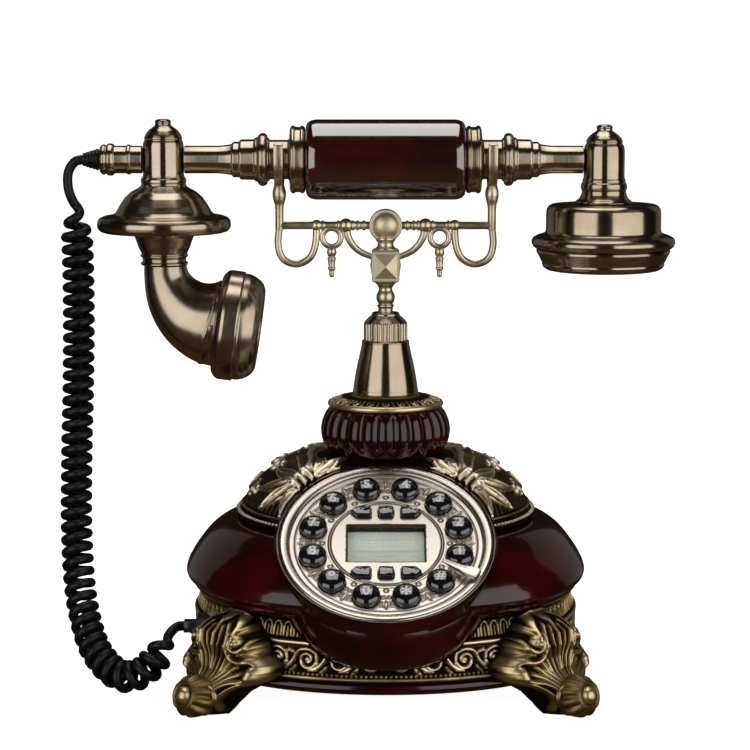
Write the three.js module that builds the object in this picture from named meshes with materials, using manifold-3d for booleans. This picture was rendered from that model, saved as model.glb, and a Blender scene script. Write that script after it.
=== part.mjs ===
// A cradle telephone in the French style: ornate lacquered base, push-button dial, sprung cradle, handset and cord.
// Millimetres, +Z up. The root group moves the stem axis so that the footprint's centre is the origin.
import * as THREE from 'three';
import { mergeVertices } from 'three/addons/utils/BufferGeometryUtils.js';
import Module from 'manifold-3d';

const wasm = await Module();
wasm.setup();

// ---- Driving dimensions ----
const GAP = 0.3; // play between pieces that touch
const SLIVER = 0.12; // cuts drop slivers thinner than this
const STEM_Y = 4.3; // stem axis behind the footprint's centre

const BASE_HALF = 87.4; // half-width of the lacquered body at its lip
const SIDE_RADIUS = 115; // plan radius of each bowed side
const FOOT_HEIGHT = 9; // underside of the plinth above the table
const PLINTH_TOP = 13.4;
const SKIRT_TOP = 38.4;
const WALL = 2.6;

const CROWN_EDGE_RADIUS = 65;
const CROWN_EDGE_Z = 70.2;
const CROWN_TOP_Z = 96.9;
const COLLAR_Z = [97.4, 117];
const COLLAR_FLUTES = 24;

const DIAL_TILT = THREE.MathUtils.degToRad(35);
const DIAL_CENTRE = new THREE.Vector3(0, -58, 67.7);
const BOSS_RADIUS = 46.8;
const BEZEL_RADIUS = 45;
const PLATE_RADIUS = 40.2;
const KEY_CIRCLE = 31.6;
const KEY_RADIUS = 5.7;
const KEY_STROKE = 1.5;
const LCD_SIZE = [33.4, 21.8];
const FUNCTION_ROW = 17.4;
const FUNCTION_SPACING = 10.6;

const STEM_TOP = 158.3;
const STEM_BASE = 123;
const ROD_RADIUS = 3.2;
const BAR_Z = 196;
const FORK_X = 46;
const HANDSET_Z = 224.5;
const NECK_WAIST = 8.5;
const GRIP_HALF = 34.4;
const GRIP_RADIUS = 17.3;

const TRANSMITTER_X = -96;
const RECEIVER_X = 94.4;
const BARREL_RADIUS = 8.85;
const HORN_BEND = 25.5;
const HORN_SWEEP = THREE.MathUtils.degToRad(82);
const HORN_TOP = 178.6;

const CORD_RADIUS = 2.3;
const COIL_RADIUS = 7.3;

// ---- Materials ----
const finish = (color, roughness, metalness) =>
  new THREE.MeshStandardMaterial({ color, roughness, metalness });
const lacquer = finish('#4a0608', 0.12, 0);
const bronze = finish('#8a7b62', 0.25, 1);
const satinBrass = finish('#9a8458', 0.38, 1);
const castGold = finish('#7c6534', 0.45, 1);
const champagne = finish('#cbb9a4', 0.3, 1);
const blackPlastic = finish('#0c0c0f', 0.15, 0);
const rubber = finish('#0d0d0e', 0.5, 0);
const greyPlastic = finish('#3c3c3e', 0.6, 0);
const board = finish('#1f5a34', 0.5, 0);
const steel = finish('#8f9194', 0.3, 1);
const screen = finish('#b4bdae', 0.3, 0);
const glass = finish('#dfe6e2', 0.05, 0);

// ---- Helpers ----
function meshOf(name, geometry, material) {
  const mesh = new THREE.Mesh(geometry, material);
  mesh.name = name;
  return mesh;
}

function solid(geometry) {
  const plain = geometry.clone();
  plain.deleteAttribute('normal');
  plain.deleteAttribute('uv');
  const merged = mergeVertices(plain, 1e-4);
  return new wasm.Manifold(new wasm.Mesh({
    numProp: 3,
    vertProperties: new Float32Array(merged.attributes.position.array),
    triVerts: new Uint32Array(merged.index.array),
  }));
}

function geometryOf(manifold) {
  const mesh = manifold.simplify(SLIVER).getMesh();
  const geometry = new THREE.BufferGeometry();
  geometry.setAttribute('position', new THREE.BufferAttribute(new Float32Array(mesh.vertProperties), 3));
  geometry.setIndex(new THREE.BufferAttribute(new Uint32Array(mesh.triVerts), 1));
  geometry.computeVertexNormals();
  return geometry;
}

const join = (...geometries) => geometryOf(geometries.map(solid).reduce((all, next) => all.add(next)));
const cut = (body, ...tools) => geometryOf(tools.map(solid).reduce((all, next) => all.subtract(next), solid(body)));

// A solid of revolution about Z from [radius, z] points, listed from the bottom up on the outside.
function turned(points, segments = 24) {
  const profile = points.map(([radius, z]) => new THREE.Vector2(radius, z));
  return new THREE.LatheGeometry(profile, segments).rotateX(Math.PI / 2);
}

// A ring of revolution: the profile closes on itself.
const turnedRing = (points, segments) => turned([...points, points[0]], segments);

// The same, about X, with points as [radius, x].
const turnedAlongX = (points, segments) => turned(points, segments).rotateY(Math.PI / 2);

function tube(points, radius, steps, sides = 8) {
  const section = new THREE.Shape().absarc(0, 0, radius, 0, 2 * Math.PI);
  const path = new THREE.CatmullRomCurve3(points.map((point) => new THREE.Vector3(...point)));
  return new THREE.ExtrudeGeometry(section, { steps, extrudePath: path, curveSegments: sides / 2, bevelEnabled: false });
}

function box(width, depth, height, x, y, z) {
  return new THREE.BoxGeometry(width, depth, height).translate(x, y, z);
}

function rod(radius, low, high, segments = 16) {
  return new THREE.CylinderGeometry(radius, radius, high - low, segments)
    .rotateX(Math.PI / 2).translate(0, 0, (low + high) / 2);
}

const ball = (radius, x, y, z, across = 12, up = 8) =>
  new THREE.SphereGeometry(radius, across, up).rotateX(Math.PI / 2).translate(x, y, z);

function slab(shape, low, high) {
  return new THREE.ExtrudeGeometry(shape, { depth: high - low, bevelEnabled: false, curveSegments: 8 })
    .translate(0, 0, low);
}

// Distance from the axis to the plan outline of a bowed square of half-width 1, at a given bearing.
function bowedReach(angle) {
  const bow = SIDE_RADIUS / BASE_HALF;
  const offset = bow - 1;
  const arc = (turn) => -offset * Math.cos(turn) + Math.sqrt(bow ** 2 - (offset * Math.sin(turn)) ** 2);
  const quarter = Math.PI / 2;
  const near = ((angle % quarter) + quarter) % quarter;
  const power = 20;
  return (arc(near) ** -power + arc(near - quarter) ** -power) ** (-1 / power);
}

// A turned profile of [half-width, z, squareness] points, pushed out to the bowed square.
function bowed(points, segments = 36) {
  const squareness = new Map(points.map(([half, z, square]) => [`${half.toFixed(3)},${z.toFixed(3)}`, square]));
  const geometry = turned(points, segments);
  const position = geometry.attributes.position;
  for (let i = 0; i < position.count; i += 1) {
    const x = position.getX(i);
    const y = position.getY(i);
    const key = `${Math.hypot(x, y).toFixed(3)},${position.getZ(i).toFixed(3)}`;
    const reach = 1 + (squareness.get(key) ?? 1) * (bowedReach(Math.atan2(y, x)) - 1);
    position.setXY(i, x * reach, y * reach);
  }
  return geometry;
}

// The dial's own frame: X to the right, Y up the slope, Z out of the face.
function dialGroup() {
  const group = new THREE.Group();
  group.position.copy(DIAL_CENTRE);
  group.rotation.x = DIAL_TILT;
  return group;
}

const inDialFrame = (geometry) =>
  geometry.rotateX(DIAL_TILT).translate(DIAL_CENTRE.x, DIAL_CENTRE.y, DIAL_CENTRE.z);

// ---- Base body ----
// The bowl under the dial: a round rim on the dial plane that closes to a small level oval at the skirt.
const BOSS_SEGMENTS = 36;
const BOWL_TOP = 1.6;
const BOWL_COLLAR = -5;
const BOWL_FOOT = { y: -66.5, z: 20.5, halfWidth: 19, halfDepth: 20 };

function bowl(inset, top, low) {
  const levels = 5;
  const geometry = new THREE.CylinderGeometry(1, 1, 1, BOSS_SEGMENTS, levels).rotateX(Math.PI / 2);
  const position = geometry.attributes.position;
  const radius = BOSS_RADIUS - inset;
  for (let i = 0; i < position.count; i += 1) {
    const x = position.getX(i);
    const y = position.getY(i);
    const down = (0.5 - position.getZ(i)) * levels;
    const rim = new THREE.Vector3(x * radius, y * radius, down < 0.5 ? top : BOWL_COLLAR);
    rim.applyAxisAngle(new THREE.Vector3(1, 0, 0), DIAL_TILT).add(DIAL_CENTRE);
    const along = Math.max(0, (down - 1) / (levels - 1));
    const foot = new THREE.Vector3(
      x * (BOWL_FOOT.halfWidth - inset),
      BOWL_FOOT.y + y * (BOWL_FOOT.halfDepth - inset),
      low,
    );
    const inward = 1 - Math.cos((along * Math.PI) / 2);
    const drop = Math.sin((along * Math.PI) / 2);
    position.setXYZ(
      i,
      rim.x + (foot.x - rim.x) * inward,
      rim.y + (foot.y - rim.y) * inward,
      rim.z + (foot.z - rim.z) * drop,
    );
  }
  return geometry;
}

const bowlOutside = (clear) => bowl(-clear, BOWL_TOP + 40 * Math.sign(clear), BOWL_FOOT.z - clear);

const SHELL_PROFILE = [
  [63.4, 69.2, 0], [69.5, 68.4, 0.2], [76.5, 63.6, 0.6], [83, 55.4, 0.95], [86.6, 50, 1],
  [87.4, 46.8, 1], [86.4, 43, 1], [83.4, 39.8, 1], [80.6, SKIRT_TOP + GAP, 1],
];

function bodyShell() {
  const top = [0, 69.2, 0];
  const outside = bowed([[0, SKIRT_TOP + GAP, 1], ...SHELL_PROFILE.slice().reverse(), top]);
  const inner = SHELL_PROFILE.filter((_, i) => i % 2 === 1).map(([half, z, square]) => [half - WALL, z - WALL, square]);
  const inside = bowed([
    [0, SKIRT_TOP - 3, 1], [77.9, SKIRT_TOP - 3, 1], [77.9, SKIRT_TOP + 1, 1], ...inner.reverse(),
    [58, 67, 0], [58, 72, 0], [0, 72, 0],
  ], 28);
  const pocket = inDialFrame(rod(BEZEL_RADIUS + GAP, -3.5, 6, BOSS_SEGMENTS));
  const well = inDialFrame(rod(PLATE_RADIUS - 1.2, -12, 0, BOSS_SEGMENTS));
  const hollow = bowl(WALL, BOWL_COLLAR + 1.2, BOWL_FOOT.z + WALL);
  const above = inDialFrame(rod(BOSS_RADIUS + 0.8, BOWL_TOP - 0.1, 40, BOSS_SEGMENTS));
  const shell = cut(join(outside, bowl(0, BOWL_TOP, BOWL_FOOT.z)), inside, hollow, pocket, well, above);
  return meshOf('body_shell', shell, lacquer);
}

function skirtBand() {
  const ring = bowed([
    [77.5, PLINTH_TOP + GAP, 1], [84.6, PLINTH_TOP + GAP, 1], [84.9, 16, 1], [83.3, 18, 1], [82.7, 27.6, 1],
    [84.1, 29, 1], [84.1, 30.6, 1], [82.2, 31.6, 1], [80.2, SKIRT_TOP, 1], [77.5, SKIRT_TOP, 1],
    [77.5, PLINTH_TOP + GAP, 1],
  ]);
  const jackHole = box(24, 13.6, 9.6, JACK.x, JACK.y, JACK.z);
  const lineHole = box(14.6, 30, 12.6, LINE_JACK.x, LINE_JACK.y, LINE_JACK.z);
  return meshOf('skirt_band', cut(ring, bowlOutside(GAP), jackHole, lineHole), castGold);
}

function bottomPlate() {
  const plate = bowed([
    [0, FOOT_HEIGHT, 1], [83.4, FOOT_HEIGHT, 1], [84.8, 10.6, 1], [84.6, PLINTH_TOP, 1], [76, PLINTH_TOP, 1],
    [76, 11.6, 1], [0, 11.6, 1],
  ]);
  return meshOf('bottom_plate', plate, lacquer);
}

// ---- Feet: an acanthus scroll that wraps each corner and ends in a round toe ----
const TOE = { reach: 111.5, radius: 9.8, z: 7.4 };

function footOutline() {
  const half = [[9, -4], [10.2, 5], [13, 9.5], [19, 12.6], [24.6, 14.6], [26.4, 18.4], [24, 22.4], [19.4, 25],
    [17.6, 31], [13.4, 37.4], [6, 41]];
  const outline = [...half, ...half.map(([side, z]) => [-side, z]).reverse()];
  return new THREE.Shape(outline.map(([side, z]) => new THREE.Vector2(side, z)));
}

function foot(name, turn) {
  const front = new THREE.ExtrudeGeometry(footOutline(), { depth: 60, bevelEnabled: false })
    .rotateX(Math.PI / 2).rotateZ(Math.PI / 2).translate(62, 0, 0).rotateZ(Math.PI / 4);
  const side = bowed([
    [0, 1.5, 1], [98, 1.5, 1], [103, 8, 1], [99.5, 14, 1], [96.5, 19, 1], [98.5, 27, 1], [98, 32, 1],
    [92, 37, 1], [84.5, 39.6, 1], [0, 39.6, 1],
  ], 28);
  const inner = bowed([
    [0, -10, 1], [74, -10, 1], [83.4, FOOT_HEIGHT - GAP, 1], [85.3, 10.4, 1], [85.4, 16.4, 1], [84.6, 28, 1],
    [84.6, 31, 1], [82.6, SKIRT_TOP, 1], [89.6, 44, 1], [89.6, 60, 1], [0, 60, 1],
  ], 36);
  const toe = ball(TOE.radius, TOE.reach * Math.SQRT1_2, TOE.reach * Math.SQRT1_2, TOE.z, 16, 10);
  const floor = box(400, 400, 40, 0, 0, -20);
  const leg = solid(front).intersect(solid(side)).add(solid(toe));
  const geometry = geometryOf(leg.subtract(solid(inner)).subtract(solid(floor)));
  return meshOf(name, geometry.rotateZ(turn), castGold);
}

// ---- Crown, collar and bell stem ----
function crownPlate() {
  const ring = turnedRing([
    [62.6, CROWN_EDGE_Z - 0.7], [65.4, CROWN_EDGE_Z - 0.7], [65.4, 72], [63.2, 76.6], [59.2, 82.7], [51.4, 90],
    [43, 95.4], [28, CROWN_TOP_Z], [14, CROWN_TOP_Z], [14, 94.4], [40, 93], [49, 87.8], [56.6, 81], [60.4, 75],
    [61.4, 71.2],
  ], 36);
  return meshOf('crown_plate', cut(ring, bowlOutside(GAP)), castGold);
}

function collar() {
  const ring = turnedRing([
    [18, COLLAR_Z[0]], [25.4, COLLAR_Z[0]], [27.2, 100.6], [27.9, 106.7], [27, 112], [24.8, COLLAR_Z[1]],
    [18, COLLAR_Z[1]],
  ], COLLAR_FLUTES * 2);
  const position = ring.attributes.position;
  for (let i = 0; i < position.count; i += 1) {
    const x = position.getX(i);
    const y = position.getY(i);
    const outer = Math.hypot(x, y) > 20;
    const swell = outer ? 1 + 0.022 * Math.cos(COLLAR_FLUTES * Math.atan2(y, x)) : 1;
    position.setXY(i, x * swell, y * swell);
  }
  return meshOf('collar', ring, lacquer);
}

function collarCap() {
  return meshOf('collar_cap', turnedRing([
    [ROD_RADIUS + 0.4, 117.3], [24.6, 117.3], [25.2, 118.6], [24.6, 120.4], [21, 121.6], [15, 122.7],
    [ROD_RADIUS + 0.4, 122.7],
  ], 24), castGold);
}

function stemBell() {
  return meshOf('stem_bell', turnedRing([
    [ROD_RADIUS + 0.4, STEM_BASE], [14.3, STEM_BASE], [14.3, 124.6], [13.9, 125.4], [12.2, 134], [10.7, 141],
    [10, 145.6], [9.4, 155], [8.4, 155.8], [5.4, 157.2], [5.4, STEM_TOP], [ROD_RADIUS + 0.4, STEM_TOP],
  ], 20), bronze);
}

// ---- Dial ----
const KEYS = [['1', -15], ['2', 15], ['3', 45], ['4', 75], ['5', 105], ['6', 135], ['7', 165], ['8', 195],
  ['9', 225], ['0', 255], ['star', 285], ['hash', 315]];

function keyPlace(degrees) {
  const angle = THREE.MathUtils.degToRad(degrees);
  return [KEY_CIRCLE * Math.cos(angle), KEY_CIRCLE * Math.sin(angle)];
}

// Function key outlines: side keys are leaves that point outward, middle keys are shields.
function functionOutline(column, clear) {
  const width = (column === 0 ? 3 : 4.3) + clear;
  const height = 2.7 + clear;
  const outer = column === 0 ? width : width * 0.45;
  const points = [[-width, -height], [outer, -height], [width, 0], [outer, height], [-width, height]];
  if (column === 0) points.splice(2, 1, [width + 0.4, 0]);
  if (column === 0) points.push([-width - 0.4, 0]);
  const sign = column < 0 ? -1 : 1;
  const placed = points.map(([x, y]) => new THREE.Vector2(x * sign, y));
  return sign < 0 ? placed.reverse() : placed;
}

const FUNCTION_KEYS = [-1, 0, 1].flatMap((column) => [1, -1].map((row) => ({
  name: `key_${row > 0 ? 'upper' : 'lower'}_${['left', 'middle', 'right'][column + 1]}`,
  column,
  x: column * FUNCTION_SPACING,
  y: row * FUNCTION_ROW,
})));

function keypadPlate() {
  const keyHoles = KEYS.map(([, degrees]) => rod(KEY_RADIUS + GAP, -6, 2, 10).translate(...keyPlace(degrees), 0));
  const functionHoles = FUNCTION_KEYS.map(({ column, x, y }) =>
    slab(new THREE.Shape(functionOutline(column, GAP)), -6, 2).translate(x, y, 0));
  const window = box(...LCD_SIZE, 8, 0, 0, -2);
  return meshOf('keypad_plate', cut(rod(PLATE_RADIUS, -3.2, 0, 36), window, ...keyHoles, ...functionHoles), champagne);
}

function keypadBezel() {
  return meshOf('keypad_bezel', turnedRing([
    [PLATE_RADIUS + GAP, -3.2], [BEZEL_RADIUS, -3.2], [BEZEL_RADIUS, 1.6], [44.2, 2.5], [42.6, 2.7], [41.4, 1.9],
    [PLATE_RADIUS + GAP, 1.2],
  ], BOSS_SEGMENTS), champagne);
}

function numberKey(name, degrees) {
  const key = meshOf(`key_${name}`, turned([
    [0, -4.9], [KEY_RADIUS + 0.8, -4.9], [KEY_RADIUS + 0.8, -3.6], [KEY_RADIUS, -3.6], [KEY_RADIUS, 1.8],
    [KEY_RADIUS * 0.8, 3.6], [0, 4.5],
  ], 10), blackPlastic);
  key.position.set(...keyPlace(degrees), 0);
  return key;
}

function functionKey({ name, column, x, y }) {
  const key = meshOf(name, slab(new THREE.Shape(functionOutline(column, 0)), -4.9, 2.2), blackPlastic);
  key.position.set(x, y, 0);
  return key;
}

function fingerStop() {
  const blade = new THREE.Shape([[26.5, -1], [39, -2.8], [43.6, -2.8], [43.6, 2.8], [39, 2.4], [26.5, 0.6]]
    .map(([x, y]) => new THREE.Vector2(x, y)));
  return meshOf('finger_stop', slab(blade, 3, 4).rotateZ(THREE.MathUtils.degToRad(-29)), champagne);
}

function dialParts() {
  const group = dialGroup();
  const [width, height] = LCD_SIZE;
  group.add(keypadPlate(), keypadBezel(), fingerStop());
  group.add(meshOf('display_window', box(width - 2 * GAP, height - 2 * GAP, 0.8, 0, 0, -2.2), glass));
  group.add(meshOf('display_module', box(width + 3, height + 1, 2.6, 0, 0, -4.9), screen));
  group.add(meshOf('keypad_board', rod(PLATE_RADIUS - 2, -8.6, -7, 32), board));
  for (const [name, degrees] of KEYS) group.add(numberKey(name, degrees));
  for (const key of FUNCTION_KEYS) group.add(functionKey(key));
  return group;
}

// ---- Inside the base ----
const JACK = { x: -75, y: -35.4, z: 27 };
const LINE_JACK = { x: 30, y: 81, z: 24 };

function insideParts() {
  const group = new THREE.Group();
  const jackBody = cut(box(10, 13, 9, JACK.x - 0.5, JACK.y, JACK.z), box(8, 7, 5.4, JACK.x - 3, JACK.y, JACK.z));
  const lineBody = cut(
    box(14, 15, 12, LINE_JACK.x, LINE_JACK.y - 1.5, LINE_JACK.z),
    box(10.4, 12, 7, LINE_JACK.x, LINE_JACK.y + 2, LINE_JACK.z),
  );
  const speaker = turned([[0, 13], [22, 13], [22, 16], [12, 24], [12, 30], [0, 30]], 24).translate(-42, 24, 0);
  group.add(
    meshOf('cord_jack', jackBody, greyPlastic),
    meshOf('line_jack', lineBody, greyPlastic),
    meshOf('main_board', box(76, 62, 1.6, 26, 14, 17), board),
    meshOf('ringer_speaker', speaker, greyPlastic),
    meshOf('ballast_weight', box(56, 16, 14, -12, 59, 21), steel),
    meshOf('hook_switch', box(16, 22, 14, 0, 4, 51), greyPlastic),
  );
  return group;
}

function hookSpring() {
  return meshOf('hook_spring', turnedRing([[4, 61], [6.4, 61], [6.4, 75.6], [4, 75.6]], 12), steel);
}

// ---- Cradle ----
function forkProng(side) {
  const inner = NECK_WAIST + 0.7;
  const outer = inner + 3;
  const shape = new THREE.Shape();
  shape.moveTo(-outer, 6);
  shape.lineTo(-outer, 0);
  shape.absarc(0, 0, outer, Math.PI, 2 * Math.PI);
  shape.lineTo(outer, 6);
  shape.absarc(outer - 1.5, 6, 1.5, 0, Math.PI);
  shape.lineTo(inner, 0);
  shape.absarc(0, 0, inner, 0, -Math.PI, true);
  shape.lineTo(-inner, 6);
  shape.absarc(-outer + 1.5, 6, 1.5, 0, Math.PI);
  return new THREE.ExtrudeGeometry(shape, { depth: 4, bevelEnabled: false, curveSegments: 4 })
    .rotateX(Math.PI / 2).rotateZ(Math.PI / 2).translate(side * FORK_X - 2, 0, HANDSET_Z);
}

function cradleSide(side) {
  const at = (x, z) => [side * x, 0, z];
  const post = turned([[0, 194], [2, 194], [2, 206], [3.3, 207.4], [3.3, 210.6], [2.4, 213.4], [0, 213.6]], 10)
    .translate(side * FORK_X, 0, 0);
  const loop = tube([at(46, 196), at(46.4, 187), at(44.4, 181.6), at(38.6, 179.4), at(33, 182), at(30.4, 188.4),
    at(29.9, 195.6)], 1.6, 12, 6);
  const ring = new THREE.TorusGeometry(4, 1.3, 5, 9).rotateX(Math.PI / 2).translate(side * 23.4, 0, 190.8);
  const drop = turned([[0, 173.4], [0.9, 174], [1.1, 177.6], [2.1, 179.4], [2.1, 180.6], [1.3, 183], [1.4, 186.4],
    [0, 186.6]], 8).translate(side * 23.4, 0, 0);
  const arc = tube([at(17.2, 195.6), at(15.8, 190), at(11.6, 185), at(4, 181.6)], 1.5, 6, 6);
  return [forkProng(side), post, loop, ring, drop, arc, ball(2.3, side * 29.9, 0, BAR_Z, 8, 5),
    ball(3, side * 17.2, 0, BAR_Z, 8, 5)];
}

function cradleYoke() {
  const bar = rod(1.85, -FORK_X, FORK_X, 10).rotateY(Math.PI / 2).translate(0, 0, BAR_Z);
  const rim = new THREE.TorusGeometry(6.3, 0.8, 6, 14).rotateX(Math.PI / 2).translate(0, 0, BAR_Z);
  const neck = rod(3.7, 185, 191, 12);
  const block = new THREE.CylinderGeometry(8.5, 8.5, 14.4, 4).rotateX(Math.PI / 2).rotateZ(Math.PI / 4)
    .translate(0, 0, 178.9);
  const pieces = [bar, ball(6.2, 0, 0, BAR_Z, 12, 8), rim, neck, block, ...cradleSide(-1), ...cradleSide(1)];
  return meshOf('cradle_yoke', join(...pieces), satinBrass);
}

function cradleStem() {
  return meshOf('cradle_stem', turned([
    [0, 59.5], [3.2, 59.5], [3.2, 76], [6, 76], [6, 77.4], [ROD_RADIUS, 77.4], [ROD_RADIUS, 162.3], [3.6, 163],
    [3.9, 165], [3.6, 167.2], [3.1, 168], [3.7, 171], [0, 171.3],
  ], 12), satinBrass);
}

// ---- Handset ----
function gripSleeve() {
  return meshOf('grip_sleeve', turnedAlongX([
    [8, -GRIP_HALF], [14.8, -GRIP_HALF], [16.4, -32.8], [GRIP_RADIUS, -30.4], [GRIP_RADIUS, 30.4], [16.4, 32.8],
    [14.8, GRIP_HALF], [8, GRIP_HALF], [8, -GRIP_HALF],
  ], 28), lacquer);
}

// Each neck is one turned piece: core tube inside the grip, ferrule, fork waist, bead, steps and arm.
function neck(name, side) {
  const shaft = turnedAlongX([
    [0, 2], [7.7, 2], [7.7, 34.7], [14.2, 34.7], [14.7, 35.6], [14.6, 40.6], [14, 41.3], [NECK_WAIST, 41.8],
    [NECK_WAIST, 50.4], [10.6, 51.2], [11.4, 53], [10.6, 55.2], [8.8, 56.6], [8.7, 62.6], [7.7, 63.2], [7.7, 65.8],
    [6.8, 66.4], [6, 71], [6, 90], [0, 90],
  ], 16);
  if (side < 0) shaft.rotateZ(Math.PI);
  const head = side < 0 ? TRANSMITTER_X : RECEIVER_X;
  const barrel = rod(BARREL_RADIUS + GAP, -20, 20, 24).translate(head, 0, 0);
  return meshOf(name, cut(shaft, barrel), bronze);
}

function transmitterHead() {
  const head = turned([
    [0, 178.9], [9.4, 178.9], [9.6, 181], [11.2, 186], [13.4, 192.6], [26.5, 193.2], [28.6, 194.4], [29, 196.6],
    [28.4, 199], [26, 200.2], [20.8, 201], [18.4, 206], [14, 210.6], [9.8, 213], [9.4, 216.4], [BARREL_RADIUS, 218],
    [BARREL_RADIUS, 231], [7.8, 235], [6, 237.4], [3.4, 239.4], [3.2, 241.6], [0, 242],
  ], 20);
  head.translate(TRANSMITTER_X, 0, 0);
  return meshOf('transmitter_head', head, bronze);
}

function cordGland() {
  const stub = turnedAlongX([
    [0, 90], [6, 90], [6, 117.6], [7, 118.4], [7, 120], [6.2, 120.6], [6.6, 122.2], [5.4, 123.6], [0, 123.6],
  ], 16).rotateZ(Math.PI);
  const barrel = rod(BARREL_RADIUS + GAP, -20, 20, 24).translate(TRANSMITTER_X, 0, 0);
  const outer = cut(stub, barrel, box(60, 60, 60, TRANSMITTER_X + 31, 0, 0));
  return meshOf('cord_gland', outer, bronze);
}

// The horn is turned straight along its length, then bent along an arc toward +X.
function mouthpieceElbow() {
  const length = HORN_BEND * HORN_SWEEP;
  const outside = [[9.4, 0], [10.4, 0.2], [13, 0.42], [16, 0.66], [18.6, 0.9], [19.2, 1]];
  const inside = outside.map(([radius, part]) => [radius - 2.2, part]).reverse();
  const straight = turnedRing([...outside, ...inside].map(([radius, part]) => [radius, part * length]).reverse(), 24);
  const position = straight.attributes.position;
  for (let i = 0; i < position.count; i += 1) {
    const turn = position.getZ(i) / HORN_BEND;
    const reach = HORN_BEND + position.getX(i);
    const x = TRANSMITTER_X + 0.4 + HORN_BEND - reach * Math.cos(turn);
    position.setXYZ(i, x, -position.getY(i), HORN_TOP - reach * Math.sin(turn));
  }
  return meshOf('mouthpiece_elbow', straight, bronze);
}

// The mouthpiece frame: Z runs out of the horn's mouth.
function mouthpieceGroup() {
  const group = new THREE.Group();
  const turn = HORN_SWEEP;
  group.position.set(
    TRANSMITTER_X + 0.4 + HORN_BEND * (1 - Math.cos(turn)),
    0,
    HORN_TOP - HORN_BEND * Math.sin(turn),
  );
  group.rotation.y = Math.PI / 2 + (Math.PI / 2 - turn);
  return group;
}

function soundHoles(radius, low, high, rings) {
  const holes = [rod(radius, low, high, 6)];
  for (const [count, circle] of rings) {
    for (let i = 0; i < count; i += 1) {
      const angle = (2 * Math.PI * i) / count;
      holes.push(rod(radius, low, high, 6).translate(circle * Math.cos(angle), circle * Math.sin(angle), 0));
    }
  }
  return holes;
}

function mouthpieceParts() {
  const group = mouthpieceGroup();
  const rim = turned([
    [17.2, 0.3], [21.4, 0.4], [23.9, 1.4], [23.9, 7.2], [22.8, 7.6], [23.3, 9.4], [22.9, 13], [20.6, 17],
    [16.4, 19.4], [14.6, 18.8], [0, 17.8], [0, 16], [17.2, 16], [17.2, 0.3],
  ], 24);
  group.add(meshOf('mouthpiece_rim', cut(rim, ...soundHoles(1.4, 12, 24, [[6, 8]])), bronze));
  group.add(meshOf('microphone_capsule', rod(16.6, 8, 15.6, 24), greyPlastic));
  return group;
}

function receiverParts() {
  const group = new THREE.Group();
  group.position.x = RECEIVER_X;
  const head = turned([
    [0, 205.7], [12.6, 205.7], [10.8, 207.4], [9.6, 210.4], [9.9, 213.6], [9.3, 215.4], [BARREL_RADIUS, 217],
    [BARREL_RADIUS, 229.6], [7.6, 232.6], [6, 235], [3.4, 237], [3.2, 239.2], [0, 239.6],
  ], 20);
  const cup = turnedRing([
    [28.4, 186.2], [29.6, 186.4], [31.1, 188.6], [30.6, 190.6], [27, 192.6], [24.9, 193], [24, 203.4], [22.6, 205.2],
    [2, 205.4], [2, 202.8], [21.6, 202.4], [22.4, 191], [27.6, 189.4],
  ], 24);
  const cap = turned([
    [0, 176.6], [23.6, 176.6], [26.2, 178.2], [27.8, 182], [28.9, 185.9], [25.9, 185.9], [24.4, 179.4], [0, 178.6],
  ], 24);
  group.add(
    meshOf('receiver_head', head, bronze),
    meshOf('receiver_cup', cup, bronze),
    meshOf('receiver_cap', cut(cap, ...soundHoles(1.6, 170, 190, [[6, 10]])), bronze),
    meshOf('receiver_capsule', rod(21, 181, 190.4, 24), greyPlastic),
  );
  return group;
}

function handset() {
  const group = new THREE.Group();
  const axial = new THREE.Group();
  axial.position.z = HANDSET_Z;
  axial.add(
    gripSleeve(), neck('neck_left', -1), neck('neck_right', 1), cordGland(),
  );
  group.add(axial, transmitterHead(), mouthpieceElbow(), mouthpieceParts(), receiverParts());
  return group;
}

// ---- Handset cord: a straight tail from the handset, then the coil down to the table and up to the base ----
const TAIL_ROUTE = [
  [-131.9, 0, 224.5], [-134.6, 0, 223.6], [-137.6, 0, 218.6], [-137.4, 0, 212], [-135.2, 0, 206], [-134.4, 0, 201.3],
];
const COIL_ROUTE = [
  [-134.2, 0, 200.9], [-133.6, 0, 184], [-133.4, -1, 160], [-133.8, -3, 130], [-134.6, -7, 95], [-134.4, -13, 62],
  [-131.6, -23, 36], [-124.6, -37, 17.6], [-113.6, -48, 8.8], [-103.6, -51.6, 10.4], [-96.2, -50.8, 18],
  [-92.8, -45, 25.4], [-87.6, -39.4, 27.4],
];

function handsetCord() {
  const group = new THREE.Group();
  const boot = turnedAlongX([[0, 123.9], [4.6, 123.9], [4, 126.4], [2.9, 130.8], [0, 130.8]], 12)
    .rotateZ(Math.PI).translate(0, 0, HANDSET_Z);
  group.add(
    meshOf('handset_cord_boot', boot, rubber),
    meshOf('handset_cord_tail', tube(TAIL_ROUTE, CORD_RADIUS, 10, 8), rubber),
    meshOf('handset_cord_coil', tube(COIL_ROUTE, COIL_RADIUS, 44, 8), rubber),
    meshOf('handset_cord_plug', box(9, 6.4, 4.8, JACK.x - 7, JACK.y, JACK.z), blackPlastic),
  );
  return group;
}

// ---- Assembly ----
const phone = new THREE.Group();
phone.position.y = STEM_Y;
phone.add(
  bodyShell(), skirtBand(), bottomPlate(),
  foot('foot_rear_right', 0), foot('foot_rear_left', Math.PI / 2),
  foot('foot_front_left', Math.PI), foot('foot_front_right', -Math.PI / 2),
  crownPlate(), collar(), collarCap(), stemBell(), dialParts(), insideParts(), hookSpring(),
  cradleYoke(), cradleStem(), handset(), handsetCord(),
);

export default phone;
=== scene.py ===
"""A French-style cradle telephone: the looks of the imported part, in metres, in the part's own frame."""

import math

import bmesh
import bpy
import numpy as np
from mathutils import Matrix, Vector


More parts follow.
